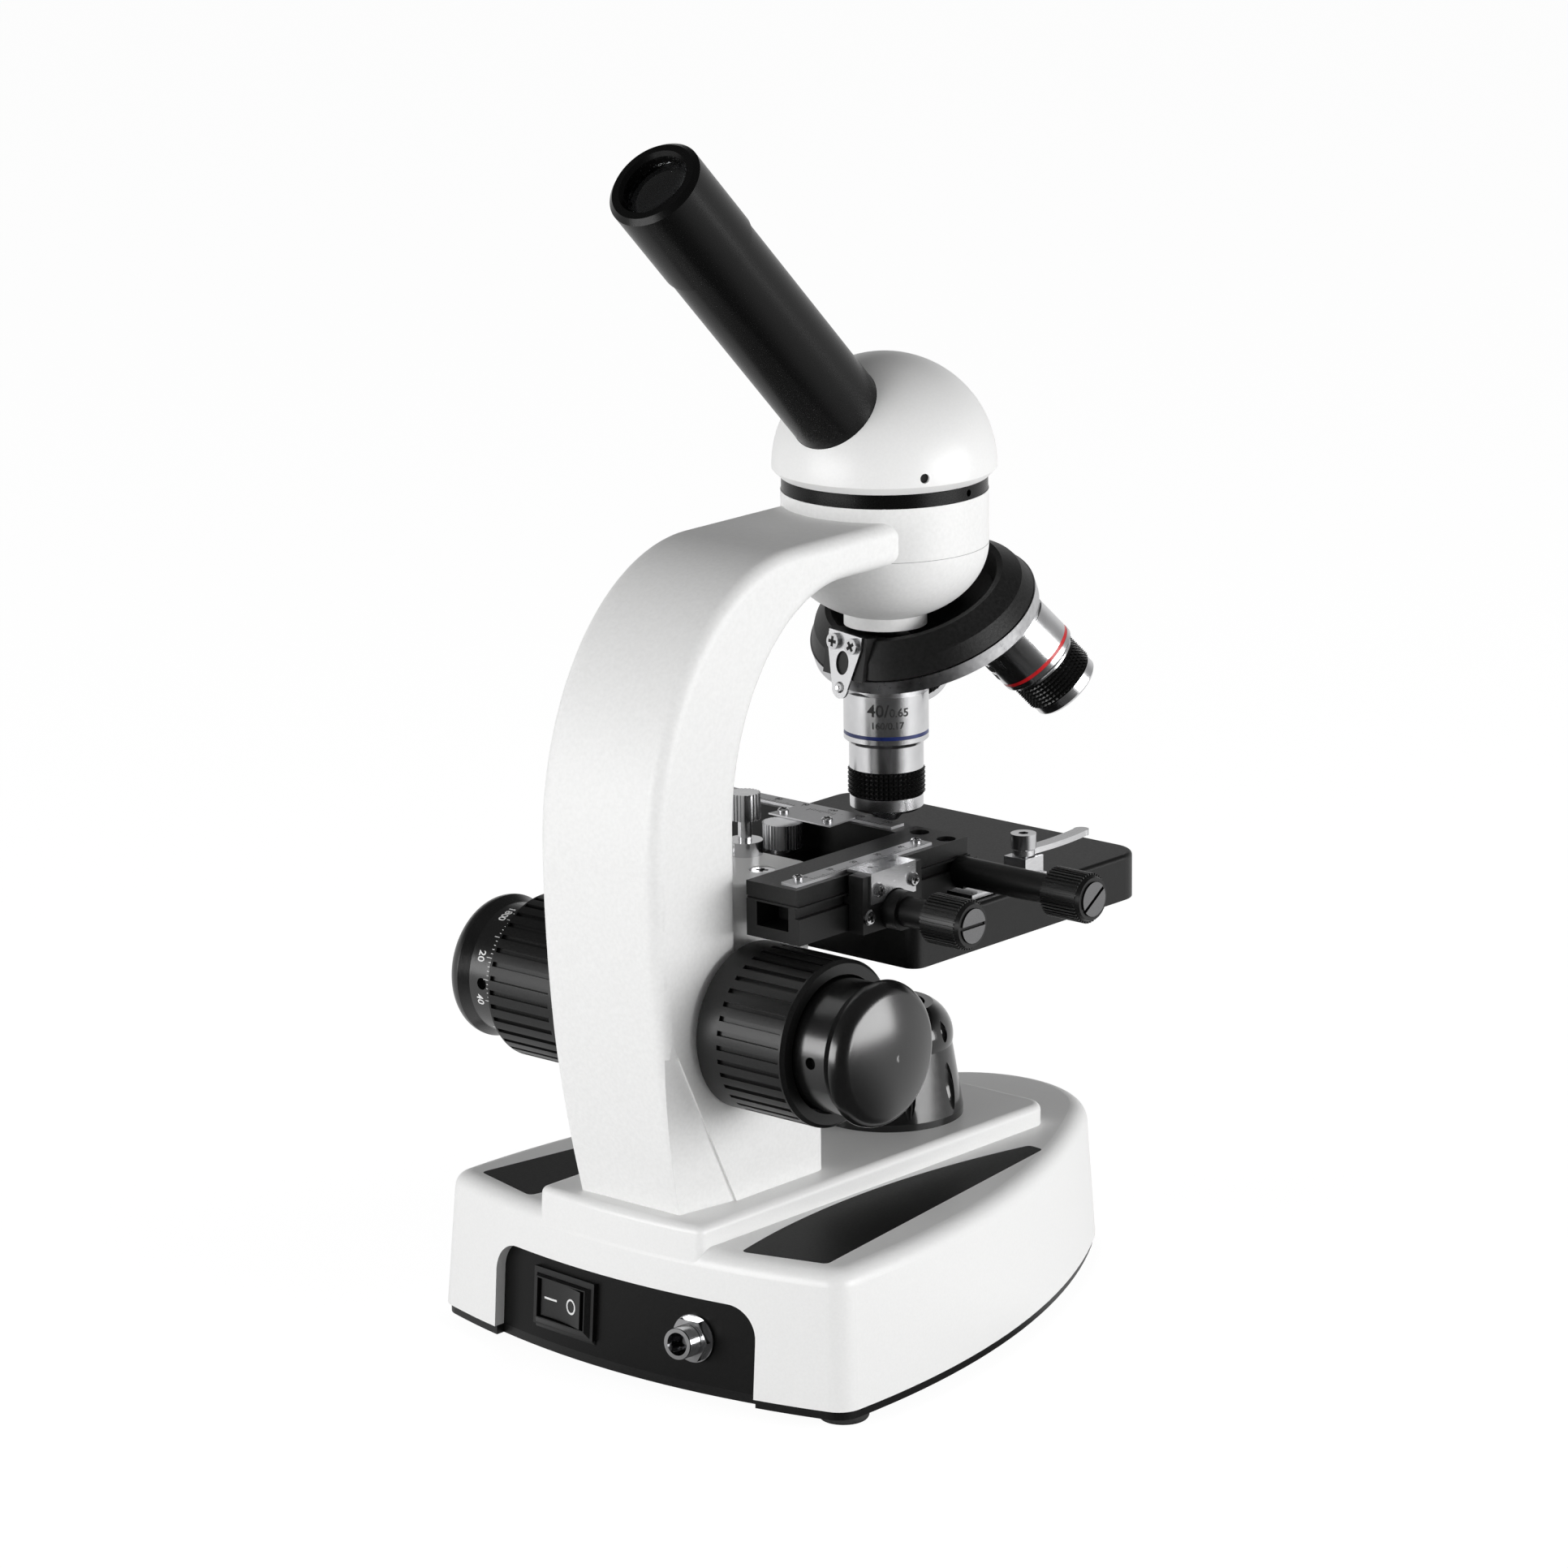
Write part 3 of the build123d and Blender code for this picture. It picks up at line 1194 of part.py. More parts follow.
def make_carriage():
    """Carriage that guides the fore-and-aft bar, and the vernier plate on it."""
    left = bar_right + guide_gap
    back, front = carriage_back_y, carriage_front_y
    plate_low = bar_top + vernier_lift
    carriage = block(left, carriage_right, back, front, stage_top, plate_low)
    guide_z = bar_top - guide_drop
    carriage += block(bar_right - guide_groove + sliding_gap, left + 1, back, front,
                      guide_z - guide_height / 2,
                      guide_z + guide_height / 2)
    sleeve_end = y_knob_face - knob_length - sliding_gap
    carriage += rod_x(knob_sleeve_radius, left + 1, sleeve_end, y_knob_y, y_knob_z)
    carriage += rod_x(knob_collar_radius, left + 1, knob_collar_end, y_knob_y, y_knob_z)
    carriage -= rod_x(spindle_radius + running_fit, left - 1, sleeve_end + 1, y_knob_y, y_knob_z)
    carriage -= block(bar_left, y_knob_face, back - 1, front + 1, stage_bottom, stage_top)
    outer = carriage_right + vernier_thickness
    back, front = vernier_back_y, vernier_front_y
    vernier = block(vernier_left, outer, back, front, plate_low, plate_low + vernier_thickness)
    vernier += block(carriage_right, outer, back, front, plate_low - vernier_drop,
                     plate_low + vernier_thickness)
    vernier -= rod_x(knob_collar_radius + sliding_gap, left, sleeve_end, y_knob_y, y_knob_z)
    return carriage, vernier


def make_bars():
    """Fore-and-aft bar with its cover, cross bar, the two scales and the thumb screw."""
    back, front = bar_back_y, bar_front_y
    bar = block(bar_left, bar_right, back, front, bar_bottom, bar_top)
    bar -= block(bar_right - bar_cover_step, bar_right + 1, back - 1, front + 1, bar_seam_z, bar_top + 1)
    bar -= block(bar_left - 1, bar_right + 1, back - 1, back + bar_seam_depth, bar_seam_z,
                 bar_seam_z + bar_seam_width)
    guide_z = bar_top - guide_drop
    groove = guide_height / 2 + sliding_gap
    bar -= block(bar_right - guide_groove, bar_right + 1, back - 1, front + 1, guide_z - groove,
                 guide_z + groove)
    room = y_pinion_radius + slot_margin
    slot_top = y_knob_z + y_pinion_radius + sliding_gap
    bar -= block(bar_left + slot_left, bar_right + 1, y_knob_y - y_travel_front - room,
                 y_knob_y + y_travel_back + room, bar_bottom - 1, slot_top)
    bar -= block(bar_left - 1, bar_right + 1, cross_back_y - 1, front + 1, bar_bottom - 1, cross_bottom)
    pocket_left, pocket_right, pocket_low, pocket_high = bar_pocket
    bar -= block(pocket_left, pocket_right, back - 1, back + bar_pocket_depth, pocket_low, pocket_high)
    for x, y in bar_screws:
        bar -= drum(bar_screw_radius, bar_top - bar_screw_sink, bar_top + 1, x, y)
    bar += block(bar_right - 1, bar_right + bearing_plate, bearing_back_y, bearing_front_y, cross_bottom,
                 bearing_top)
    sleeve = x_knob_face - knob_length - sliding_gap
    bar += rod_x(knob_sleeve_radius, bar_right, sleeve, x_knob_y, x_knob_z)
    bar -= rod_x(spindle_radius + running_fit, bar_left - 1, sleeve + 1, x_knob_y, x_knob_z)

    cross = block(cross_left, bar_left, cross_back_y, front, cross_bottom, bar_top)
    left_wall, right_wall = cross_end_walls
    cross -= block(cross_left + left_wall, bar_left - right_wall, cross_back_y + cross_wall,
                   front - cross_wall,
                   cross_bottom - 1, bar_top - cross_web)
    cross -= rod_x(spindle_radius + running_fit, cross_left + 1, bar_left + 1, x_knob_y, x_knob_z)
    lug_top = thumb_bottom - thumb_lug_gap
    cross += block(thumb_x - thumb_radius, thumb_x + thumb_radius, thumb_y - thumb_radius, cross_back_y + 1,
                   cross_bottom, lug_top)
    cross -= drum(thumb_shank_radius + running_fit, stage_top, lug_top + 1, thumb_x, thumb_y)
    thumb = Pos(thumb_x, thumb_y, 0) * ribbed_rod(thumb_radius, thumb_bottom, thumb_top, thumb_ribs,
                                                  *thumb_rib)
    thumb += drum(thumb_collar_radius, lug_top + seat_gap, thumb_bottom + 1, thumb_x, thumb_y)
    thumb += drum(thumb_shank_radius, cross_bottom, thumb_bottom + 1, thumb_x, thumb_y)

    high = bar_top + scale_thickness
    scale_y = block(scale_left, scale_left + scale_width, scale_back_y, scale_front_y, bar_top, high)
    left_margin, right_margin = scale_margin
    scale_back = cross_back_y + scale_inset
    scale_x = block(cross_left + left_margin, bar_left - right_margin, scale_back, scale_back + scale_width,
                    bar_top, high)
    return bar, cross, [scale_y, scale_x], thumb


def make_stage_knobs():
    """The two stage knobs, one with its pinion and one with the lead screw."""
    y_knob = knob_on_shaft(y_knob_face, bar_left + y_pinion_start + 1, y_knob_y, y_knob_z, y_knob_slot_turn)
    pinion = ribbed_rod(y_pinion_radius, bar_left + y_pinion_start, bar_right - guide_groove,
                        y_pinion_teeth, *y_tooth)
    y_knob += Pos(0, y_knob_y, y_knob_z) * Rot(0, 90, 0) * pinion
    x_knob = knob_on_shaft(x_knob_face, bar_left - lead_screw_margin, x_knob_y, x_knob_z, x_knob_slot_turn)
    x_knob += rod_x(lead_screw_radius, cross_left + lead_screw_margin, bar_left, x_knob_y, x_knob_z)
    return y_knob, x_knob


def make_slide_holder():
    """Slide holder with its nut on the lead screw, the sprung finger and the cap screw it turns on."""
    low = holder_bottom
    top = low + holder_thickness
    lap = holder_lap
    holder = block(holder_left, holder_arm_left, holder_back_y, holder_front_y, low, top)
    holder += block(holder_left, holder_left + holder_finger_width, holder_front_y - lap,
                    holder_finger_end_y,
                    low, top)
    holder += block(holder_arm_left - lap, holder_right, holder_back_y, holder_arm_front_y, low, top)
    holder += block(clamp_x - clamp_half, clamp_x + clamp_half, clamp_y - clamp_half,
                    clamp_y + clamp_half, low,
                    clamp_top)
    nut_back = cross_back_y + cross_wall + sliding_gap
    nut_front = bar_front_y - cross_wall - sliding_gap
    holder += block(-holder_nut_length, 0, nut_back, nut_front, top - lap / 2, x_knob_z + holder_nut_top)
    holder -= rod_x(lead_screw_radius + running_fit, -holder_nut_length - 1, 1, x_knob_y, x_knob_z)
    holder -= drum(cap_shank_radius + seat_gap, top, clamp_top + 1, clamp_x, clamp_y)

    finger_low = clamp_top + sliding_gap
    finger_high = finger_low + finger_thickness
    reach = finger_reach
    spine = ThreePointArc((0, 0), (finger_bow, reach / 2), (-finger_bow, reach))
    path = trace(spine, finger_width) + Circle(finger_hub) + Pos(-finger_bow, reach) * Circle(finger_tip)
    finger = Pos(clamp_x, clamp_y, finger_low) * extrude(path, finger_thickness)
    finger -= drum(cap_shank_radius + running_fit, 0, finger_high + 1, clamp_x, clamp_y)
    cap_low = finger_high + sliding_gap
    cap = drum(cap_radius, cap_low, cap_low + cap_height, clamp_x, clamp_y)
    socket = extrude(RegularPolygon(cap_socket_radius, 6), cap_height)
    cap -= Pos(clamp_x, clamp_y, cap_low + cap_height / 2) * socket
    cap += drum(cap_shank_radius, top + lap / 2, cap_low + lap, clamp_x, clamp_y)
    return holder, finger, cap


def make_driver_board():
    """Small power board inside the base, on its plate."""
    x0, x1, y0, y1 = board_plan
    low = shell_bottom
    under = low + board_lift
    top = under + board_thickness
    board = block(x0, x1, y0, y1, under, top)
    for x in (x0 + board_post_inset, x1 - board_post_inset):
        for y in (y0 + board_post_inset, y1 - board_post_inset):
            board += drum(board_post_radius, low, top, x, y)
    coil_x, coil_y = board_coil
    half = board_coil_size / 2
    board += block(coil_x - half, coil_x + half, coil_y - half, coil_y + half, under,
                   top + board_coil_height)
    can_x, can_y = board_can
    board += drum(board_can_radius, under, top + board_can_height, can_x, can_y)
    return board


def main():
    os.makedirs("parts", exist_ok=True)
    nodes = {}
    housing, plate, feet, plate_screws, inlays, panel = make_base()
    bezel, rocker, panel = make_switch(panel)
    jack, jack_nut, panel = make_inlet(panel)
    nodes.update(base_housing=housing, base_plate=plate, base_feet=group(feet), base_inlays=group(inlays))
    nodes.update(rear_panel=panel, switch_bezel=bezel, switch_rocker=rocker, dc_jack=jack,
                 dc_jack_nut=jack_nut)
    lamp_housing, lamp_ring, lamp_lens, lamp_board = make_lamp()
    nodes.update(lamp_housing=lamp_housing, lamp_ring=lamp_ring, lamp_lens=lamp_lens)
    nodes["circuit_boards"] = group([lamp_board, make_driver_board()])
    nodes["arm"] = make_arm()
    names = ("head_ring", "head_dome", "eyepiece_tube", "head_prism")
    nodes.update(zip(names, make_head()))
    nodes.update(zip(("eyepiece_body", "eyepiece_lenses"), make_eyepiece()))
    bowl, house, axle, turret, spring, click_screws = make_nosepiece()
    nodes.update(nosepiece_bowl=bowl, nosepiece_housing=house, nosepiece_axle=axle, turret=turret)
    nodes["click_spring"] = spring
    nodes["stand_screws"] = group(plate_screws + make_arm_bolts() + click_screws)
    barrels, bands, grips, lenses, nose_piece, nose_lens = make_objectives()
    for name, barrel, band in zip(("high_power", "medium_power", "low_power"), barrels, bands):
        nodes[name + "_objective"] = barrel
        nodes[name + "_band"] = band
    nodes.update(objective_grips=group(grips), objective_lenses=group(lenses))
    nodes.update(high_power_nose=nose_piece, high_power_lens=nose_lens)
    names = ("coarse_knob_right", "coarse_knob_left", "coarse_shaft", "fine_knob_right", "fine_knob_left",
             "fine_shaft")
    nodes.update(zip(names, make_focus_knobs()))
    slide, post_y = make_focus_slide()
    nodes["focus_slide"] = slide
    stage, bracket, lens, disc, stage_screws, stop = make_stage(post_y)
    nodes.update(stage_plate=stage, stage_bracket=bracket, condenser_lens=lens, diaphragm_disc=disc)
    nodes.update(stop_screw=stop, stage_screws=group(stage_screws))
    carriage, vernier = make_carriage()
    bar, cross, scales, thumb = make_bars()
    y_knob, x_knob = make_stage_knobs()
    holder, finger, cap = make_slide_holder()
    nodes.update(y_carriage=carriage, y_vernier=vernier, y_bar=bar, x_bar=cross, stage_scales=group(scales))
    nodes.update(y_knob=y_knob, x_knob=x_knob, slide_holder=holder, clamp_finger=finger, clamp_screw=cap)
    nodes["thumb_screw"] = thumb
    for name, shape in nodes.items():
        export_step(shape, f"parts/{name}.step")


main()
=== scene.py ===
import bmesh
import bpy
import json
import math
from mathutils import Matrix, Vector


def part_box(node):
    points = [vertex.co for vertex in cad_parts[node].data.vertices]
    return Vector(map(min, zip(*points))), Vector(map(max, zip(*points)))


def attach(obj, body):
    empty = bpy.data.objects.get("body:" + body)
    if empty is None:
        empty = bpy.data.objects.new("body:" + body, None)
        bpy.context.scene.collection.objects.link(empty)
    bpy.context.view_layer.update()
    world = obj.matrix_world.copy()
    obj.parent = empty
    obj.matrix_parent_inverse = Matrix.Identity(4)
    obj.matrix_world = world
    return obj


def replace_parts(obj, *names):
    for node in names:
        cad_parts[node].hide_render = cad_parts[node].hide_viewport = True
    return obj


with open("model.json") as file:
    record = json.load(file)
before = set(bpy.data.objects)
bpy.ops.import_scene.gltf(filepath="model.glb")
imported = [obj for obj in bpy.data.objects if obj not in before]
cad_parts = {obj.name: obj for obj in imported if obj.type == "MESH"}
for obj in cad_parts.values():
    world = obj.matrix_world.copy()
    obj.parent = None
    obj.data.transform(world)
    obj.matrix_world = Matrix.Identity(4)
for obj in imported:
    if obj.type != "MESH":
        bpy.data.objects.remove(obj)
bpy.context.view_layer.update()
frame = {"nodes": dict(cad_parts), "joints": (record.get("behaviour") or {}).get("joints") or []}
nodes = frame["nodes"]
joints = {joint["name"]: joint for joint in frame["joints"]}

MM = 0.001
TURN = 2 * math.pi
X, Y, Z = range(3)


# Places read from the frame, in millimetres

def in_mm(metres):
    """Length in millimetres, to the nearest thousandth."""
    return round(float(metres) / MM, 3)


def lowest(node, axis):
    """Lowest place of a solid along an axis."""
    return in_mm(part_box(node)[0][axis])


def highest(node, axis):
    """Highest place of a solid along an axis."""
    return in_mm(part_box(node)[1][axis])


def middle(node, axis):
    """Middle of a solid along an axis."""
    low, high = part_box(node)
    return in_mm((low[axis] + high[axis]) / 2)


def pivot(joint):
    """Point that a joint turns about."""
    return [in_mm(value) for value in joints[joint]["pos_m"]]


APEX_Z = pivot("turret_turn")[Z]
TURRET_AXIS = joints["turret_turn"]["axis"]
TURRET_TILT = round(math.degrees(math.atan2(TURRET_AXIS[Y], -TURRET_AXIS[Z])), 3)
FOCUS = pivot("fine_turn")
SHELL_BOTTOM = lowest("base_housing", Z)
BASE_TOP = highest("base_inlays", Z)
BOWL_RADIUS, BOWL_TOP = highest("nosepiece_bowl", X), highest("nosepiece_bowl", Z)
COLLAR_RADIUS = highest("high_power_objective", X)
DOME_RADIUS = highest("head_dome", X)
BRACKET_TOP = highest("stage_bracket", Z)
SCALE_RIGHT, SCALE_Z = highest("stage_scales", X), highest("stage_scales", Z)
VERNIER_LEFT, VERNIER_RIGHT = lowest("y_vernier", X), highest("y_vernier", X)
VERNIER_Z = highest("y_vernier", Z)

# Sizes shared with the solids that no box or joint gives
SEAT = 53.4
BASE_LEAN = 2.6
PANEL_RADIUS, PANEL_CENTRE_Y = 236.4, 121.0


# Materials

NOISE_DETAIL = 6.0
RAMP_LOW, RAMP_HIGH = 0.3, 0.7
COAT_ROUGH = 0.08


def grey(value):
    """Neutral colour."""
    return (value, value, value)


def finish(name, low, high, rough, grain, bump=0.0, depth=0.0, stretch=(1, 1, 1),
           metallic=0.0, coat=0.0, specular=0.5, spread=0.08):
    """Procedural finish whose colour, roughness and relief follow fine noise; depth is in millimetres."""
    mat = bpy.data.materials.new(name)
    mat.use_nodes = True
    tree = mat.node_tree
    shader = tree.nodes["Principled BSDF"]
    coords = tree.nodes.new("ShaderNodeTexCoord")
    mapping = tree.nodes.new("ShaderNodeMapping")
    mapping.inputs["Scale"].default_value = stretch
    noise = tree.nodes.new("ShaderNodeTexNoise")
    noise.inputs["Scale"].default_value = grain
    noise.inputs["Detail"].default_value = NOISE_DETAIL
    ramp = tree.nodes.new("ShaderNodeValToRGB")
    for stop, position, colour in zip(ramp.color_ramp.elements, (RAMP_LOW, RAMP_HIGH), (low, high)):
        stop.position = position
        stop.color = (*colour, 1)
    roughness = tree.nodes.new("ShaderNodeMapRange")
    roughness.inputs["To Min"].default_value = max(rough - spread, 0.0)
    roughness.inputs["To Max"].default_value = min(rough + spread, 1.0)
    link = tree.links.new
    link(coords.outputs["Object"], mapping.inputs["Vector"])
    link(mapping.outputs["Vector"], noise.inputs["Vector"])
    link(noise.outputs["Fac"], ramp.inputs["Fac"])
    link(noise.outputs["Fac"], roughness.inputs["Value"])
    link(ramp.outputs["Color"], shader.inputs["Base Color"])
    link(roughness.outputs["Result"], shader.inputs["Roughness"])
    shader.inputs["Metallic"].default_value = metallic
    shader.inputs["Coat Weight"].default_value = coat
    shader.inputs["Coat Roughness"].default_value = COAT_ROUGH
    shader.inputs["Specular IOR Level"].default_value = specular
    if bump:
        relief = tree.nodes.new("ShaderNodeBump")
        relief.inputs["Strength"].default_value = bump
        relief.inputs["Distance"].default_value = depth * MM
        link(noise.outputs["Fac"], relief.inputs["Height"])
        link(relief.outputs["Normal"], shader.inputs["Normal"])
    return mat


def glass(name, low, high, ior):
    """Clear glass with a faint coating."""
    mat = finish(name, low, high, rough=0.03, grain=60, spread=0.02)
    shader = mat.node_tree.nodes["Principled BSDF"]
    shader.inputs["Transmission Weight"].default_value = 1.0
    shader.inputs["IOR"].default_value = ior
    return mat


# Paint, plastic and rubber
WHITE_COAT = finish("white_powder_coat", (0.80, 0.80, 0.795), (0.85, 0.85, 0.845),
                    rough=0.48, grain=900, bump=0.35, depth=0.08)
WHITE_SMOOTH = finish("white_enamel", (0.82, 0.82, 0.815), (0.85, 0.85, 0.845),
                      rough=0.36, grain=1400, bump=0.15, depth=0.04)
BLACK_SATIN = finish("black_anodised", grey(0.003), grey(0.0035),
                     rough=0.27, grain=2600, bump=0.25, depth=0.03, specular=0.18)
BLACK_COAT = finish("black_stage_coat", grey(0.005), grey(0.008),
                    rough=0.40, grain=1600, bump=0.35, depth=0.05, specular=0.25)
BLACK_CAST = finish("black_cast_coat", grey(0.004), grey(0.010),
                    rough=0.46, grain=1100, bump=0.55, depth=0.10, specular=0.35)
BLACK_PLASTIC = finish("black_moulded", grey(0.004), grey(0.008),
                       rough=0.34, grain=1800, bump=0.20, depth=0.04, specular=0.35)
BLACK_KNOB = finish("black_soft_knob", grey(0.004), grey(0.006),
                    rough=0.22, grain=1500, bump=0.08, depth=0.03, specular=0.8, spread=0.04)
BLACK_GLOSS = finish("black_glossy", grey(0.004), grey(0.007),
                     rough=0.14, grain=500, bump=0.03, depth=0.03, coat=0.3, spread=0.05)
BLACK_INLAY = finish("black_inlay", grey(0.004), grey(0.006),
                     rough=0.42, grain=1300, bump=0.10, depth=0.03, specular=0.05)
PANEL_BLACK = finish("black_panel", grey(0.004), grey(0.006),
                     rough=0.36, grain=2200, bump=0.25, depth=0.03, specular=0.13)
RUBBER = finish("foot_rubber", grey(0.018), grey(0.034), rough=0.75, grain=800, bump=0.4, depth=0.10)
BOARD = finish("board_laminate", (0.02, 0.10, 0.05), (0.03, 0.16, 0.08), rough=0.4, grain=300)
RED = finish("red_enamel", (0.50, 0.008, 0.012), (0.62, 0.015, 0.02), rough=0.3, grain=500)
YELLOW = finish("yellow_enamel", (0.70, 0.45, 0.01), (0.80, 0.55, 0.02), rough=0.3, grain=500)
BLUE = finish("blue_enamel", (0.004, 0.012, 0.09), (0.008, 0.022, 0.14), rough=0.3, grain=500)
INK = finish("etched_ink", grey(0.010), grey(0.03), rough=0.6, grain=900)
PAINT = finish("white_marking", grey(0.70), grey(0.82), rough=0.5, grain=900)
# Grey painted shade for the bowl's parting seam
PAINTED_SEAM_SHADE = finish("seam_shadow", grey(0.30), grey(0.38), rough=0.6, grain=900)
# Near-black painted shade, laid where screw recesses and holes are
PAINTED_RECESS_SHADE = finish("shadow_black", grey(0.002), grey(0.004), rough=0.7, grain=900)

# Metal
STEEL = finish("bright_steel", (0.64, 0.64, 0.65), (0.72, 0.72, 0.73),
               rough=0.17, grain=200, bump=0.02, depth=0.01, metallic=1.0, spread=0.04)
SATIN_STEEL = finish("satin_steel", (0.64, 0.64, 0.65), (0.70, 0.70, 0.71), stretch=(8, 1, 8),
                     rough=0.26, grain=500, bump=0.03, depth=0.01, metallic=1.0, spread=0.03)
DARK_STEEL = finish("dull_steel", (0.12, 0.12, 0.122), (0.17, 0.17, 0.172), stretch=(1, 8, 8),
                    rough=0.40, grain=500, bump=0.08, depth=0.01, metallic=1.0)
RULER = finish("etched_aluminium", (0.46, 0.46, 0.47), (0.58, 0.58, 0.59), stretch=(1, 10, 10),
               rough=0.36, grain=700, bump=0.08, depth=0.01, metallic=1.0)
RIM_STEEL = finish("turned_rim", (0.48, 0.48, 0.49), (0.60, 0.60, 0.61),
                   rough=0.30, grain=600, bump=0.06, depth=0.01, metallic=1.0)
TURNED = finish("turned_steel", (0.66, 0.66, 0.67), (0.74, 0.74, 0.75),
                rough=0.20, grain=160, bump=0.015, depth=0.01, metallic=1.0, spread=0.03)

# Glass
LENS = glass("coated_glass", (0.86, 0.90, 0.92), (0.93, 0.95, 0.96), ior=1.52)
LAMP_GLASS = glass("lamp_glass", (0.92, 0.93, 0.94), (0.97, 0.97, 0.98), ior=1.47)

looks = {
    WHITE_COAT: "arm nosepiece_bowl",
    WHITE_SMOOTH: "base_housing head_dome stage_bracket",
    BLACK_SATIN: "head_ring eyepiece_tube eyepiece_body diaphragm_disc focus_slide",
    BLACK_COAT: "stage_plate y_bar x_bar y_carriage base_plate",
    BLACK_CAST: "nosepiece_housing",
    BLACK_PLASTIC: "coarse_knob_right coarse_knob_left y_knob x_knob objective_grips "
                   "switch_bezel switch_rocker",
    BLACK_KNOB: "fine_knob_right fine_knob_left",
    BLACK_GLOSS: "lamp_housing lamp_ring",
    BLACK_INLAY: "base_inlays",
    PANEL_BLACK: "rear_panel",
    STEEL: "dc_jack dc_jack_nut nosepiece_axle stand_screws coarse_shaft fine_shaft stage_screws "
           "stop_screw thumb_screw clamp_screw",
    SATIN_STEEL: "click_spring clamp_finger slide_holder y_vernier",
    RIM_STEEL: "turret",
    RULER: "stage_scales",
    TURNED: "high_power_objective high_power_nose medium_power_objective low_power_objective",
    RUBBER: "base_feet",
    BOARD: "circuit_boards",
    RED: "low_power_band",
    YELLOW: "medium_power_band",
    BLUE: "high_power_band",
    LENS: "eyepiece_lenses objective_lenses high_power_lens condenser_lens head_prism",
    LAMP_GLASS: "lamp_lens",
}
for material, names in looks.items():
    for name in names.split():
        data = nodes[name].data
        data.materials.clear()
        data.materials.append(material)


# Mesh helpers: shapes are drawn in millimetres

MARK = 0.02
SMOOTH_ANGLE, FACET_ANGLE = 30.0, 5.0
SCREW_PROFILE = ((0, 0), (1, 0), (1, 0.55), (0.8, 0.9), (0, 1))
CROSS_SLIMNESS = 3.2
FONT_SIZE_TO_HEIGHT = 1.45
STROKE_SHARE = 0.02


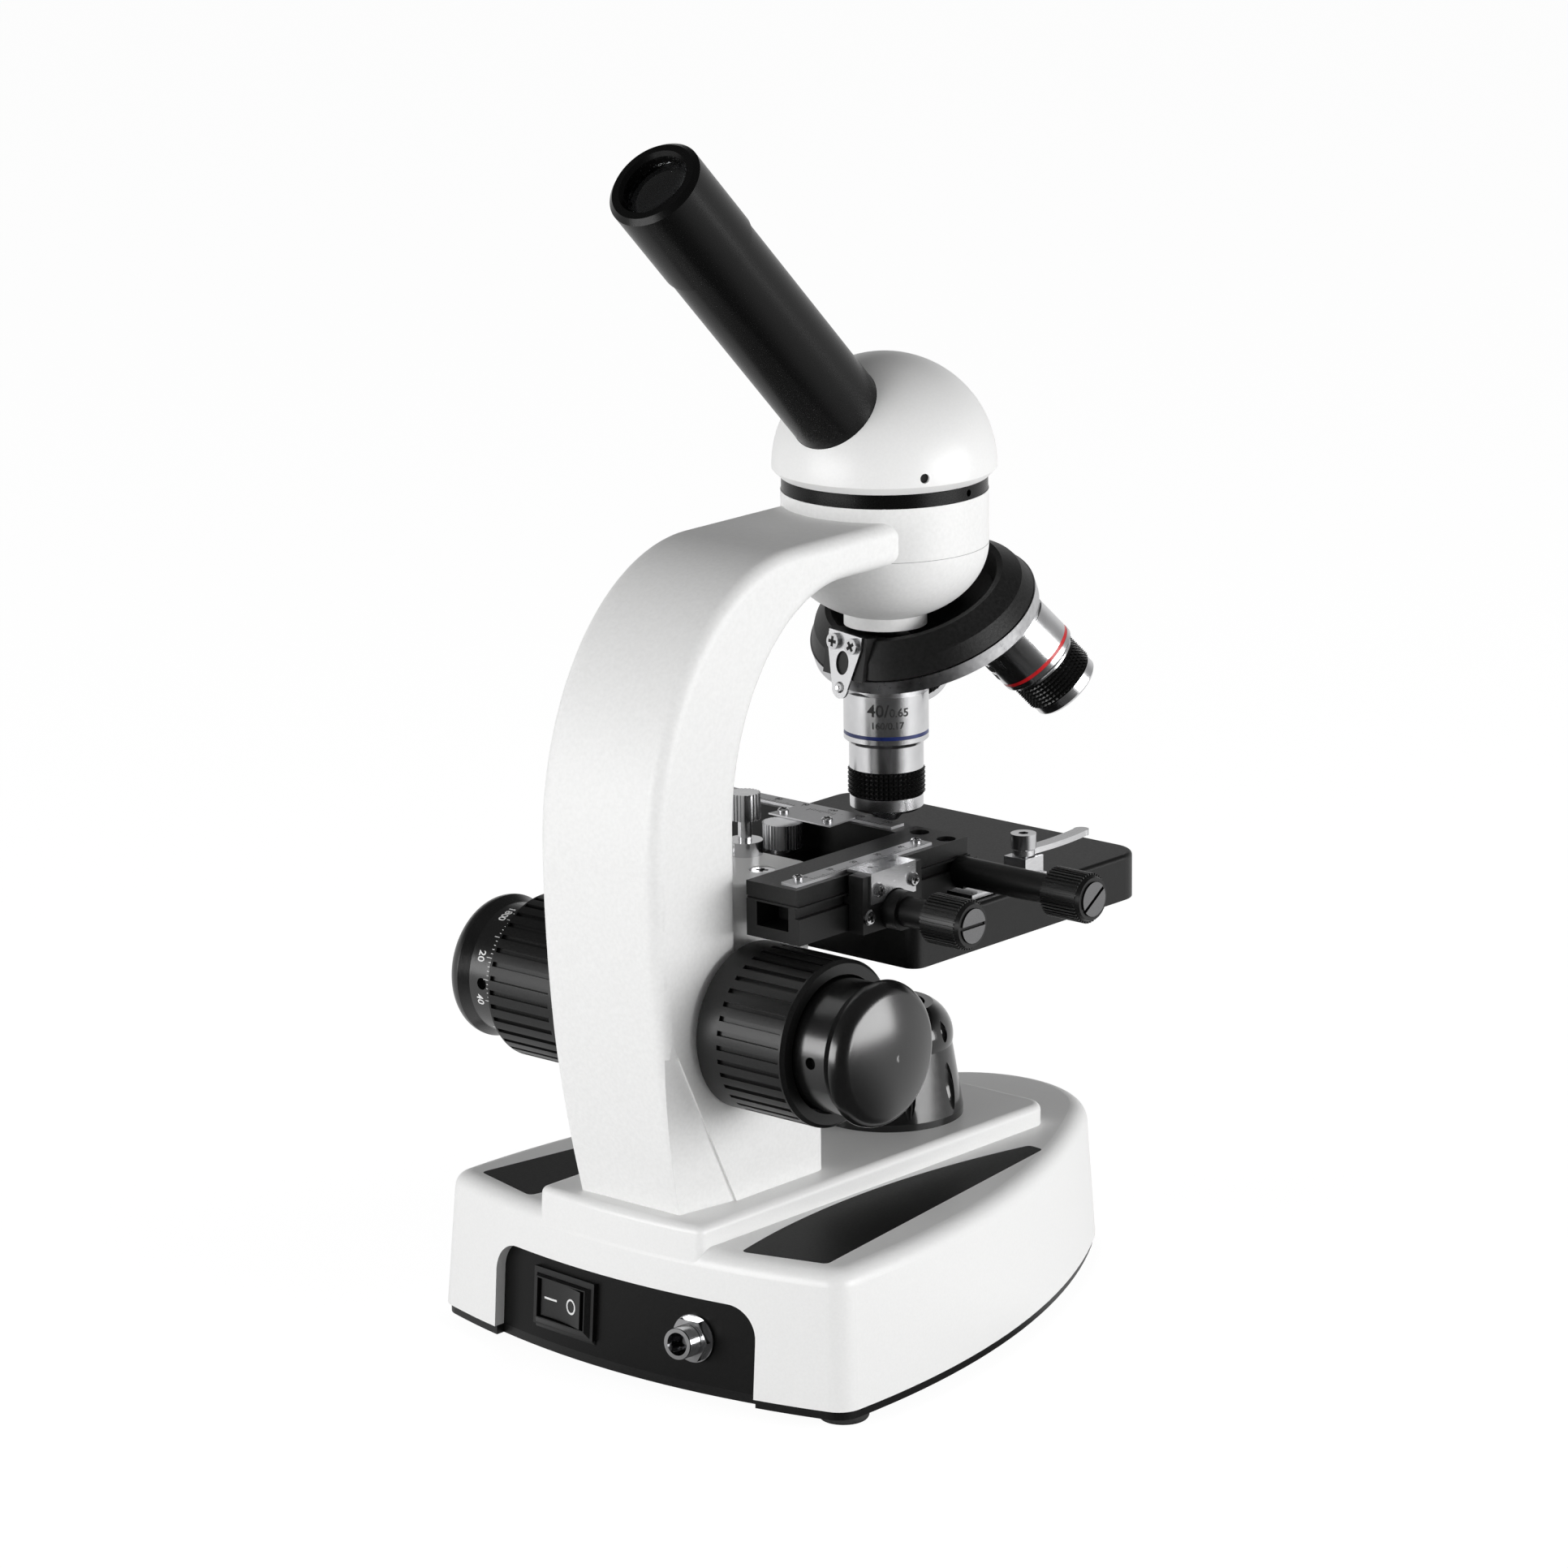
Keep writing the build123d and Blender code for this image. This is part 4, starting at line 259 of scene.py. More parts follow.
class Mesh:
    """Vertices and faces gathered from several shapes."""

    def __init__(self):
        self.verts = []
        self.faces = []

    def add(self, verts, faces):
        """Take in one shape."""
        base = len(self.verts)
        self.verts += [Vector(v) for v in verts]
        self.faces += [[base + i for i in f] for f in faces]

    def box(self, low, high, place=Matrix.Identity(4)):
        """Block between two corners."""
        xs, ys, zs = zip(low, high)
        corners = [(x, y, z) for x in xs for y in ys for z in zs]
        faces = [(0, 1, 3, 2), (4, 6, 7, 5), (0, 4, 5, 1), (2, 3, 7, 6), (0, 2, 6, 4), (1, 5, 7, 3)]
        self.add([place @ Vector(c) for c in corners], faces)

    def prism(self, outline, low, high, place=Matrix.Identity(4)):
        """Flat outline raised from one height to another along local Z."""
        count = len(outline)
        verts = [place @ Vector((x, y, h)) for h in (low, high) for x, y in outline]
        faces = [list(range(count)), list(range(count, 2 * count))]
        faces += [(i, (i + 1) % count, count + (i + 1) % count, count + i) for i in range(count)]
        self.add(verts, faces)

    def lathe(self, profile, segments, place=Matrix.Identity(4)):
        """Closed turned shape about local Z from (radius, height) points; a zero radius closes an end."""
        angles = [TURN * i / segments for i in range(segments)]
        rings = []
        verts = []
        for r, h in profile:
            if r == 0:
                rings.append([len(verts)] * segments)
                verts.append(place @ Vector((0, 0, h)))
            else:
                rings.append(list(range(len(verts), len(verts) + segments)))
                verts += [place @ Vector((r * math.cos(a), r * math.sin(a), h)) for a in angles]
        faces = []
        for a, b in zip(rings, rings[1:] + (rings[:1] if profile[0][0] else [])):
            for i in range(segments):
                j = (i + 1) % segments
                face = [a[i], a[j], b[j], b[i]]
                face = [v for k, v in enumerate(face) if v != face[k - 1]]
                if len(face) > 2:
                    faces.append(face)
        self.add(verts, faces)

    def words(self, text, size, depth, place, wrap=None, shift=0.0):
        """Raised lettering in the local XY plane, optionally wrapped round a radius about local Y."""
        curve = bpy.data.curves.new("words", "FONT")
        curve.body = text
        curve.size = size * FONT_SIZE_TO_HEIGHT
        curve.align_x = "CENTER"
        curve.align_y = "CENTER"
        curve.extrude = depth
        curve.resolution_u = 3
        curve.offset = STROKE_SHARE * size
        holder = bpy.data.objects.new("words", curve)
        bpy.context.scene.collection.objects.link(holder)
        graph = bpy.context.evaluated_depsgraph_get()
        mesh = bpy.data.meshes.new_from_object(holder.evaluated_get(graph))
        points = []
        for v in mesh.vertices:
            x, y, z = v.co.x + shift, v.co.y, v.co.z
            if wrap:
                angle, radius = x / wrap, wrap + z
                x, z = radius * math.sin(angle), radius * math.cos(angle)
            points.append(place @ Vector((x, y, z)))
        faces = [list(p.vertices) for p in mesh.polygons]
        bpy.data.objects.remove(holder)
        bpy.data.meshes.remove(mesh)
        bpy.data.curves.remove(curve)
        self.add(points, faces)

    def screw(self, radius, height, place):
        """Low rounded screw head along local Z."""
        self.lathe([(radius * r, height * h) for r, h in SCREW_PROFILE], segments=40, place=place)

    def cross_mark(self, reach, place):
        """Thin cross, in painted shade, where a screw's recess is."""
        slim = reach / CROSS_SLIMNESS
        self.box((-reach, -slim, -MARK), (reach, slim, MARK), place)
        self.box((-slim, -reach, -MARK), (slim, reach, MARK), place)

    def half_discs(self, radius, gap, thick, place):
        """Two halves of a flat disc, a gap away from local X on either side."""
        steps = 28
        start = math.asin(gap / radius)
        for side in (-1, 1):
            rim = [start + (math.pi - 2 * start) * i / steps for i in range(steps + 1)]
            outline = [(radius * math.cos(a), side * radius * math.sin(a)) for a in rim]
            self.prism(outline, 0, thick, place)

    def knurl(self, low, high, start, end, around, rows, place):
        """Ring of square pyramids about local Z, closed at both ends."""
        verts = []
        faces = []
        for row in range(rows + 1):
            h = start + (end - start) * row / rows
            for k in range(around):
                a = TURN * k / around
                verts.append(place @ Vector((low * math.cos(a), low * math.sin(a), h)))
        for row in range(rows):
            h = start + (end - start) * (row + 0.5) / rows
            for k in range(around):
                a = TURN * (k + 0.5) / around
                n = (k + 1) % around
                tip = len(verts)
                verts.append(place @ Vector((high * math.cos(a), high * math.sin(a), h)))
                quad = (row * around + k, row * around + n, (row + 1) * around + n, (row + 1) * around + k)
                faces += [(quad[i], quad[(i + 1) % 4], tip) for i in range(4)]
        faces.append(list(range(around)))
        faces.append(list(range(rows * around, (rows + 1) * around)))
        self.add(verts, faces)

    def make(self, name, material, body, smooth_angle=SMOOTH_ANGLE):
        """One piece of the scene, riding on a body."""
        mesh = bpy.data.meshes.new(name)
        mesh.from_pydata([v * MM for v in self.verts], [], self.faces)
        mesh.update()
        work = bmesh.new()
        work.from_mesh(mesh)
        bmesh.ops.recalc_face_normals(work, faces=work.faces)
        work.to_mesh(mesh)
        work.free()
        obj = bpy.data.objects.new(name, mesh)
        bpy.context.scene.collection.objects.link(obj)
        mesh.materials.append(material)
        mesh.shade_smooth()
        mesh.set_sharp_from_angle(angle=math.radians(smooth_angle))
        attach(obj, body)
        return obj


def turn_about(axis, degrees):
    """Turn about one of the local axes."""
    return Matrix.Rotation(math.radians(degrees), 4, axis)


def move(x, y, z):
    """Shift along the local axes."""
    return Matrix.Translation((x, y, z))


def on_face(origin, right, up):
    """Place whose local X and Y lie on a face and whose local Z leaves it."""
    right, up = Vector(right).normalized(), Vector(up).normalized()
    matrix = Matrix((right, up, right.cross(up))).transposed().to_4x4()
    matrix.translation = origin
    return matrix


def on_right_face(x, y, z):
    """Place on a face that looks along X."""
    return on_face((x, y, z), (0, 1, 0), (0, 0, 1))


def on_panel(x, z):
    """Place on the rear panel's outer face, local -Y outwards."""
    height = BASE_TOP - SHELL_BOTTOM
    radius = PANEL_RADIUS - BASE_LEAN * (z - SHELL_BOTTOM) / height
    lean = math.degrees(math.atan(BASE_LEAN / height))
    y = PANEL_CENTRE_Y - math.sqrt(radius ** 2 - x ** 2)
    return move(x, y, z) @ turn_about("Z", math.degrees(math.asin(x / radius))) @ turn_about("X", -lean)


NOSE = move(0, 0, APEX_Z) @ turn_about("X", 180 + TURRET_TILT)


def objective(index):
    """Axis of one objective from its seat, local Z outwards."""
    return NOSE @ turn_about("Z", 120 * index) @ turn_about("X", -TURRET_TILT) @ move(0, 0, SEAT)


# Pyramid-knurled grips of the objectives: where each starts and ends, from the seat
GRIPS = ((22.2, 30.05), (20.6, 30.4), (14.4, 22.1))
GRIP_INSET = 0.05
KNURL_ROOT, KNURL_TIP = 9.9, 11.05
KNURL_PITCH = 1.4
KNURL_COUNT = 46
grips = Mesh()
for index, (start, end) in enumerate(GRIPS):
    rows = round((end - start) / KNURL_PITCH)
    grips.knurl(KNURL_ROOT, KNURL_TIP, start + GRIP_INSET, end - GRIP_INSET, KNURL_COUNT, rows,
                objective(index))
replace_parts(grips.make("grip_knurls", BLACK_PLASTIC, "turret", FACET_ANGLE),
            "objective_grips")

# Numbers engraved on the objectives: power, aperture, turn about the axis, upper and lower line
ENGRAVED = (
    ("40/", "0.65", -42.0, 3.9, 8.1),
    ("10/", "0.25", 150.0, 4.2, 8.6),
    ("4/", "0.10", 160.0, 3.4, 7.4),
)
LOWER_TEXT = "160/0.17"
ENGRAVING = 0.06
TEXT_RADIUS = COLLAR_RADIUS + ENGRAVING
POWER_SIZE, APERTURE_SIZE, LOWER_SIZE = 3.4, 2.3, 1.9
POWER_SHIFT, APERTURE_SHIFT, APERTURE_DROP = -2.7, 3.4, 0.5
numbers = Mesh()
for index, (power, aperture, turn, upper, lower) in enumerate(ENGRAVED):
    spot = objective(index) @ turn_about("Z", turn) @ turn_about("X", -90)
    numbers.words(power, POWER_SIZE, ENGRAVING, spot @ move(0, -upper, 0), TEXT_RADIUS, POWER_SHIFT)
    numbers.words(aperture, APERTURE_SIZE, ENGRAVING, spot @ move(0, -upper - APERTURE_DROP, 0),
                  TEXT_RADIUS, APERTURE_SHIFT)
    numbers.words(LOWER_TEXT, LOWER_SIZE, ENGRAVING, spot @ move(0, -lower, 0), TEXT_RADIUS)
numbers.make("objective_numbers", INK, "turret")

# Click spring: its rivet, and crosses of painted shade for the recesses of its screws as (place across,
# turn)
SPRING_TURN, SPRING_REACH, SPRING_DEPTH, SPRING_LEAN = 7.0, 34.6, 40.0, -31.0
RIVET_LIFT = 0.2
RIVET_PROFILE = ((0.45, 0.6), (1.6, 0.6), (1.6, 0.85), (1.15, 1.15), (0.45, 0.95))
SPRING_SCREWS = ((-3.65, -89.5), (3.65, 129.5))
SPRING_SCREW_Y, SPRING_SCREW_Z, SPRING_CROSS = 2.0, -12.3, 1.5
SPRING = (NOSE @ turn_about("Z", SPRING_TURN) @ move(0, SPRING_REACH, SPRING_DEPTH)
          @ turn_about("X", SPRING_LEAN))
SPRING_OUT = on_face((0, 0, 0), (0, 0, 1), (1, 0, 0))
rivet = Mesh()
rivet.lathe(RIVET_PROFILE, segments=32, place=SPRING @ move(0, 0, RIVET_LIFT) @ SPRING_OUT)
rivet.make("spring_rivet", STEEL, "stand")
spring_recess_shade = Mesh()
for x, turn in SPRING_SCREWS:
    spot = SPRING @ move(x, SPRING_SCREW_Y, SPRING_SCREW_Z) @ SPRING_OUT @ turn_about("Z", turn)
    spring_recess_shade.cross_mark(SPRING_CROSS, spot)
# Dark crosses of painted shade stand in for the shade in the screws' recesses
spring_recess_shade.make("spring_screw_recess_shade", PAINTED_RECESS_SHADE, "stand")

# Parting line round the top of the bowl: a real seam, drawn as a grey band of painted shade
SEAM_PROUD, SEAM_SUNK, SEAM_HEIGHT = 0.03, 0.5, 0.15
seam_outer, seam_inner = BOWL_RADIUS + SEAM_PROUD, BOWL_RADIUS - SEAM_SUNK
seam_low = BOWL_TOP - SEAM_HEIGHT
seam_shade = Mesh()
seam_shade.lathe([(seam_inner, seam_low), (seam_outer, seam_low), (seam_outer, BOWL_TOP), (seam_inner, BOWL_TOP)],
           segments=180)
seam_shade.make("bowl_parting_line_shade", PAINTED_SEAM_SHADE, "stand")

# Small screws of the stage: vernier and carriage as (x, y, z, radius), bracket as (x, turn)
CROSS_SHARE = 0.62
CARRIAGE_SIDE = 50.0
SIDE_SCREWS = ((VERNIER_RIGHT, -63.5, 138.5, 1.9), (VERNIER_RIGHT, -49.2, 138.5, 1.9),
               (CARRIAGE_SIDE, -66.9, 131.4, 2.2))
SIDE_HEAD = 1.2
SIDE_TURN, SIDE_TURN_STEP = 25, 40
BRACKET_SCREWS = ((-11.0, 9.0), (11.0, 31.0))
BRACKET_SCREW_Y, BRACKET_SCREW_SUNK, BRACKET_CROSS = -66.0, 0.2, 1.7
stage_heads = Mesh()
stage_recess_shade = Mesh()
for index, (x, y, z, radius) in enumerate(SIDE_SCREWS):
    spot = on_right_face(x, y, z) @ turn_about("Z", SIDE_TURN + SIDE_TURN_STEP * index)
    stage_heads.screw(radius, SIDE_HEAD, spot)
    stage_recess_shade.cross_mark(CROSS_SHARE * radius, spot @ move(0, 0, SIDE_HEAD))
for x, turn in BRACKET_SCREWS:
    spot = move(x, BRACKET_SCREW_Y, BRACKET_TOP - BRACKET_SCREW_SUNK + MARK) @ turn_about("Z", turn)
    stage_recess_shade.cross_mark(BRACKET_CROSS, spot)
stage_heads.make("stage_screw_heads", STEEL, "stage")
# Crosses of painted shade in the recesses of the stage and bracket screws
stage_recess_shade.make("stage_screw_recess_shade", PAINTED_RECESS_SHADE, "stage")

# Small screws of the bars: upright ones as (x, y, z, radius, height), bearing plate as (y, z, turn)
INDEX_THICK = 0.4
INDEX_TOP = SCALE_Z + INDEX_THICK
COVER_Z = 140.0
TOP_SCREWS = (
    (37.4, -81.3, SCALE_Z, 1.5, 0.9),
    (37.8, -32.3, SCALE_Z, 1.5, 0.9),
    (30.2, -21.6, COVER_Z, 2.4, 1.4),
    (40.4, -22.4, COVER_Z, 2.4, 1.4),
    (-11.0, -31.7, INDEX_TOP, 1.6, 1.0),
    (5.1, -31.7, INDEX_TOP, 1.6, 1.0),
)
TOP_TURN, TOP_TURN_STEP = 15, 35
BEARING_SCREWS = ((-19.7, 134.9, 179.6), (-18.5, 131.3, 165.2))
BEARING_X, BEARING_RADIUS, BEARING_HEAD, BEARING_CROSS = 47.0, 1.5, 1.0, 0.95
bar_heads = Mesh()
bar_recess_shade = Mesh()
for index, (x, y, z, radius, height) in enumerate(TOP_SCREWS):
    spot = move(x, y, z) @ turn_about("Z", TOP_TURN + TOP_TURN_STEP * index)
    bar_heads.screw(radius, height, spot)
    bar_recess_shade.cross_mark(CROSS_SHARE * radius, spot @ move(0, 0, height))
for y, z, turn in BEARING_SCREWS:
    spot = on_right_face(BEARING_X, y, z) @ turn_about("Z", turn)
    bar_heads.screw(BEARING_RADIUS, BEARING_HEAD, spot)
    bar_recess_shade.cross_mark(BEARING_CROSS, spot @ move(0, 0, BEARING_HEAD))
bar_heads.make("bar_screw_heads", STEEL, "y_slide")
# Crosses of painted shade in the recesses of the bar screws
bar_recess_shade.make("bar_screw_recess_shade", PAINTED_RECESS_SHADE, "y_slide")

# Index plate beside the cross scale
INDEX_OUTLINE = ((-13.2, -35.5), (9.5, -35.7), (8.9, -24.2), (-12.2, -24.2))
plate = Mesh()
plate.prism(INDEX_OUTLINE, SCALE_Z, INDEX_TOP)
plate.make("scale_index_plate", RULER, "y_slide")

# Graduations of the two scales, the index plate and the vernier
TICK = 0.09
LONG_TICK, MIDDLE_TICK, SHORT_TICK = 2.3, 1.8, 1.2
EDGE_GAP = 0.05
NUMBER_SIZE = 1.5
LONG_SCALE_START, LONG_SCALE_COUNT, LONG_NUMBER_X = -79.0, 47, 38.1
CROSS_SCALE_START, CROSS_SCALE_COUNT, CROSS_SCALE_FIRST = -42.0, 61, 60
CROSS_EDGE_Y, CROSS_NUMBER_Y = -24.55, -21.1
FINE_STEP, FINE_COUNT = 0.9, 11
INDEX_START, INDEX_EDGE_Y = -7.0, -24.4
VERNIER_START, VERNIER_NUMBER_X = -61.5, 46.2


def tick_length(index):
    """Longer lines at every fifth and tenth division."""
    return LONG_TICK if index % 10 == 0 else MIDDLE_TICK if index % 5 == 0 else SHORT_TICK


ticks = Mesh()
right = SCALE_RIGHT - EDGE_GAP
for index in range(LONG_SCALE_COUNT):
    y = LONG_SCALE_START + index
    ticks.box((right - tick_length(index), y - TICK, SCALE_Z), (right, y + TICK, SCALE_Z + MARK))
    if index % 10 == 0:
        spot = on_face((LONG_NUMBER_X, y, SCALE_Z), (0, 1, 0), (-1, 0, 0))
        ticks.words(str(index), NUMBER_SIZE, MARK, spot)
for index in range(CROSS_SCALE_COUNT):
    x = CROSS_SCALE_START + index
    ticks.box((x - TICK, CROSS_EDGE_Y, SCALE_Z),
              (x + TICK, CROSS_EDGE_Y + tick_length(index), SCALE_Z + MARK))
    if index % 10 == 0:
        spot = on_face((x, CROSS_NUMBER_Y, SCALE_Z), (1, 0, 0), (0, 1, 0))
        ticks.words(str(CROSS_SCALE_FIRST + index), NUMBER_SIZE, MARK, spot)
for index in range(FINE_COUNT):
    x = INDEX_START + FINE_STEP * index
    ticks.box((x - TICK, INDEX_EDGE_Y - tick_length(index), INDEX_TOP),
              (x + TICK, INDEX_EDGE_Y, INDEX_TOP + MARK))
ticks.make("scale_graduations", INK, "y_slide")

vernier_ticks = Mesh()
left = VERNIER_LEFT + EDGE_GAP
for index in range(FINE_COUNT):
    y = VERNIER_START + FINE_STEP * index
    vernier_ticks.box((left, y - TICK, VERNIER_Z), (left + tick_length(index), y + TICK, VERNIER_Z + MARK))
    if index % 10 == 0:
        spot = on_face((VERNIER_NUMBER_X, y, VERNIER_Z), (0, 1, 0), (-1, 0, 0))
        vernier_ticks.words(str(index), NUMBER_SIZE, MARK, spot)
vernier_ticks.make("vernier_graduations", INK, "stage")

# Dial of the left fine knob: a line at every second division, a number at every twentieth
NECK_RADIUS = 18.5
DIAL_ZERO, DIAL_STEP = 117.0, 1.95
DIAL_START, DIAL_SHORT, DIAL_LONG = 55.2, 58.6, 59.7
DIAL_NUMBER_X, DIAL_NUMBER_SIZE = -61.7, 2.3
dial = Mesh()
for index in range(0, math.ceil(360 / DIAL_STEP), 2):
    angle = math.radians(DIAL_ZERO + DIAL_STEP * index)
    out = Vector((0, math.cos(angle), math.sin(angle)))
    along = Vector((0, -math.sin(angle), math.cos(angle)))
    foot = Vector(FOCUS) + out * NECK_RADIUS
    reach = DIAL_LONG if index % 10 == 0 else DIAL_SHORT
    dial.box((-TICK, DIAL_START, -MARK), (TICK, reach, MARK), on_face(foot, -along, (-1, 0, 0)))
    if index % 20 == 0:
        spot = on_face(foot + Vector((DIAL_NUMBER_X, 0, 0)), along, (1, 0, 0))
        dial.words(str(index), DIAL_NUMBER_SIZE, MARK, spot)
dial.make("fine_dial", PAINT, "fine_knobs")

# Marks on the rocker of the switch
SWITCH_X, SWITCH_Z = -20.9, 18.4
ROCKER_PIVOT, ROCKER_REST = 0.5, -5.0
ROCKER_DIP, ROCKER_CURVE = 1.5, 54.4
MARK_LOW, MARK_HIGH = -0.06, 0.08
DASH_X, DASH_REACH, DASH_HALF = -4.9, 2.5, 0.28
RING_X, RING_INNER, RING_OUTER = 4.2, 1.65, 2.2
SWITCH = (on_panel(SWITCH_X, SWITCH_Z) @ move(0, ROCKER_PIVOT, 0) @ turn_about("Z", ROCKER_REST)
          @ move(0, -ROCKER_PIVOT, 0))


def on_rocker(x):
    """Place on the rocker's hollow face."""
    depth = ROCKER_DIP + x ** 2 / (2 * ROCKER_CURVE)
    return SWITCH @ on_face((x, -depth, 0), (1, -x / ROCKER_CURVE, 0), (0, 0, 1))


marks = Mesh()
marks.box((-DASH_REACH, -DASH_HALF, MARK_LOW), (DASH_REACH, DASH_HALF, MARK_HIGH), on_rocker(DASH_X))
marks.lathe([(RING_INNER, MARK_LOW), (RING_OUTER, MARK_LOW),
             (RING_OUTER, MARK_HIGH), (RING_INNER, MARK_HIGH)],
            segments=48, place=on_rocker(RING_X))
marks.make("switch_marks", PAINT, "switch_rocker")

# Thread of the power inlet
INLET_X, INLET_Z = 26.0, 18.3
THREAD_START, THREAD_PITCH, THREAD_TURNS = 3.2, 0.75, 6
THREAD_CORE, THREAD_ROOT, THREAD_CREST = 4.1, 4.28, 4.48
thread_end = THREAD_START + THREAD_PITCH * THREAD_TURNS
thread_profile = [(THREAD_CORE, THREAD_START)]
for turn in range(THREAD_TURNS):
    foot = THREAD_START + THREAD_PITCH * turn
    thread_profile += [(THREAD_ROOT, foot), (THREAD_CREST, foot + THREAD_PITCH / 2)]
thread_profile += [(THREAD_ROOT, thread_end), (THREAD_CORE, thread_end)]
thread = Mesh()
thread.lathe(thread_profile, segments=64, place=on_panel(INLET_X, INLET_Z) @ turn_about("X", 90))
thread.make("inlet_thread", STEEL, "stand")

# Slotted discs on the ends of the stage knobs
DISC_RADIUS, DISC_GAP = 4.8, 0.5
DISC_TURNS = {"y_knob": 0.0, "x_knob": 34.0}
for knob, turn in DISC_TURNS.items():
    spot = on_right_face(highest(knob, X), middle(knob, Y), middle(knob, Z)) @ turn_about("Z", turn)
    disc = Mesh()
    disc.half_discs(DISC_RADIUS, DISC_GAP, MARK, spot)
    disc.make(knob + "_disc", DARK_STEEL, knob)

# Shadow in the set-screw hole of the dome
DOME_HOLE_TURN, DOME_HOLE_Z = -29.0, 241.0
DOME_HOLE_RADIUS, DOME_HOLE_LOW, DOME_HOLE_HIGH = 1.3, -1.2, -1.0
hole = Mesh()
hole.lathe([(0, DOME_HOLE_LOW), (DOME_HOLE_RADIUS, DOME_HOLE_LOW), (DOME_HOLE_RADIUS, DOME_HOLE_HIGH),
            (0, DOME_HOLE_HIGH)],
           segments=24, place=turn_about("Z", DOME_HOLE_TURN) @ on_right_face(DOME_RADIUS, 0, DOME_HOLE_Z))
hole.make("dome_hole_shadow", PAINTED_RECESS_SHADE, "head")


# Camera, floor, world and lights, in metres except where millimetres are named

FLOOR_HALF = 4.0
FLOOR_COLOUR = (*grey(0.85), 1)
FLOOR_GLOW, FLOOR_MIRROR, FLOOR_WHITE = 0.78, 0.80, 1.20
BACKDROP = (-0.658, 0.753, 0.0)
DIM_FRONT = (-0.90, -0.35)
ROOM, ROOM_SIDES = 0.06, 0.75
WALL_LOW, WALL_HIGH, CEILING = 0.05, 0.55, 0.15
SKY_LOW, SKY_HIGH = 0.55, 0.06
LIGHT_AIM = (0, -0.02, 0.16)
LIGHT_ELEVATION, LIGHT_DISTANCE = 5, 1.5
LIGHT_WIDTH, LIGHT_HEIGHT = 1.3, 0.6


def towards(azimuth, elevation):
    """Direction away from the object, from two angles in degrees."""
    a, e = math.radians(azimuth), math.radians(elevation)
    return Vector((math.sin(a) * math.cos(e), -math.cos(a) * math.cos(e), math.sin(e)))


def make_camera():
    """Camera at the photograph's place: the target, in millimetres, falls on the target pixel."""
    azimuth, elevation = 41.181, 14.673
    roll = math.radians(-0.616)
    pixels_per_mm = 4.366
    distance = 2000.0
    image = 1932
    target = Vector((0, 0, 131.7))
    target_pixel = (1092.879, 1029.9)
    back = towards(azimuth, elevation)
    right = towards(azimuth + 90, 0)
    up = back.cross(right)
    side = right * math.cos(roll) + up * math.sin(roll)
    rise = up * math.cos(roll) - right * math.sin(roll)
    place = target + back * distance
    place -= side * (target_pixel[0] - image / 2) / pixels_per_mm
    place += rise * (target_pixel[1] - image / 2) / pixels_per_mm
    data = bpy.data.cameras.new("camera")
    data.sensor_width = 36.0
    data.lens = data.sensor_width * pixels_per_mm * distance / image
    data.clip_end = 20.0
    camera = bpy.data.objects.new("camera", data)
    matrix = Matrix((side, rise, back)).transposed().to_4x4()
    matrix.translation = place * MM
    camera.matrix_world = matrix
    bpy.context.scene.collection.objects.link(camera)
    bpy.context.scene.camera = camera


def make_light(name, azimuth, power):
    """Soft wide light aimed at the middle of the object."""
    back = towards(azimuth, LIGHT_ELEVATION)
    data = bpy.data.lights.new(name, "AREA")
    data.shape = "RECTANGLE"
    data.size, data.size_y = LIGHT_WIDTH, LIGHT_HEIGHT
    data.energy = power
    light = bpy.data.objects.new(name, data)
    light.location = Vector(LIGHT_AIM) + back * LIGHT_DISTANCE
    light.rotation_euler = back.to_track_quat("Z", "Y").to_euler()
    bpy.context.scene.collection.objects.link(light)


def combined(tree, operation, first, second):
    """Sum or product of two values, kept between 0 and 1."""
    node = tree.nodes.new("ShaderNodeMath")
    node.operation = operation
    node.use_clamp = True
    tree.links.new(first, node.inputs[0])
    tree.links.new(second, node.inputs[1])
    return node.outputs[0]


def scaled(tree, value, low, high, to_low, to_high):
    """Value carried smoothly from one range to another."""
    node = tree.nodes.new("ShaderNodeMapRange")
    node.interpolation_type = "SMOOTHSTEP"
    node.inputs["From Min"].default_value = low
    node.inputs["From Max"].default_value = high
    node.inputs["To Min"].default_value = to_low
    node.inputs["To Max"].default_value = to_high
    tree.links.new(value, node.inputs["Value"])
    return node.outputs["Result"]


def facing_backdrop(tree, direction):
    """How far a direction points at the backdrop, from -1 to 1."""
    node = tree.nodes.new("ShaderNodeVectorMath")
    node.operation = "DOT_PRODUCT"
    node.inputs[1].default_value = BACKDROP
    tree.links.new(direction, node.inputs[0])
    return node.outputs["Value"]


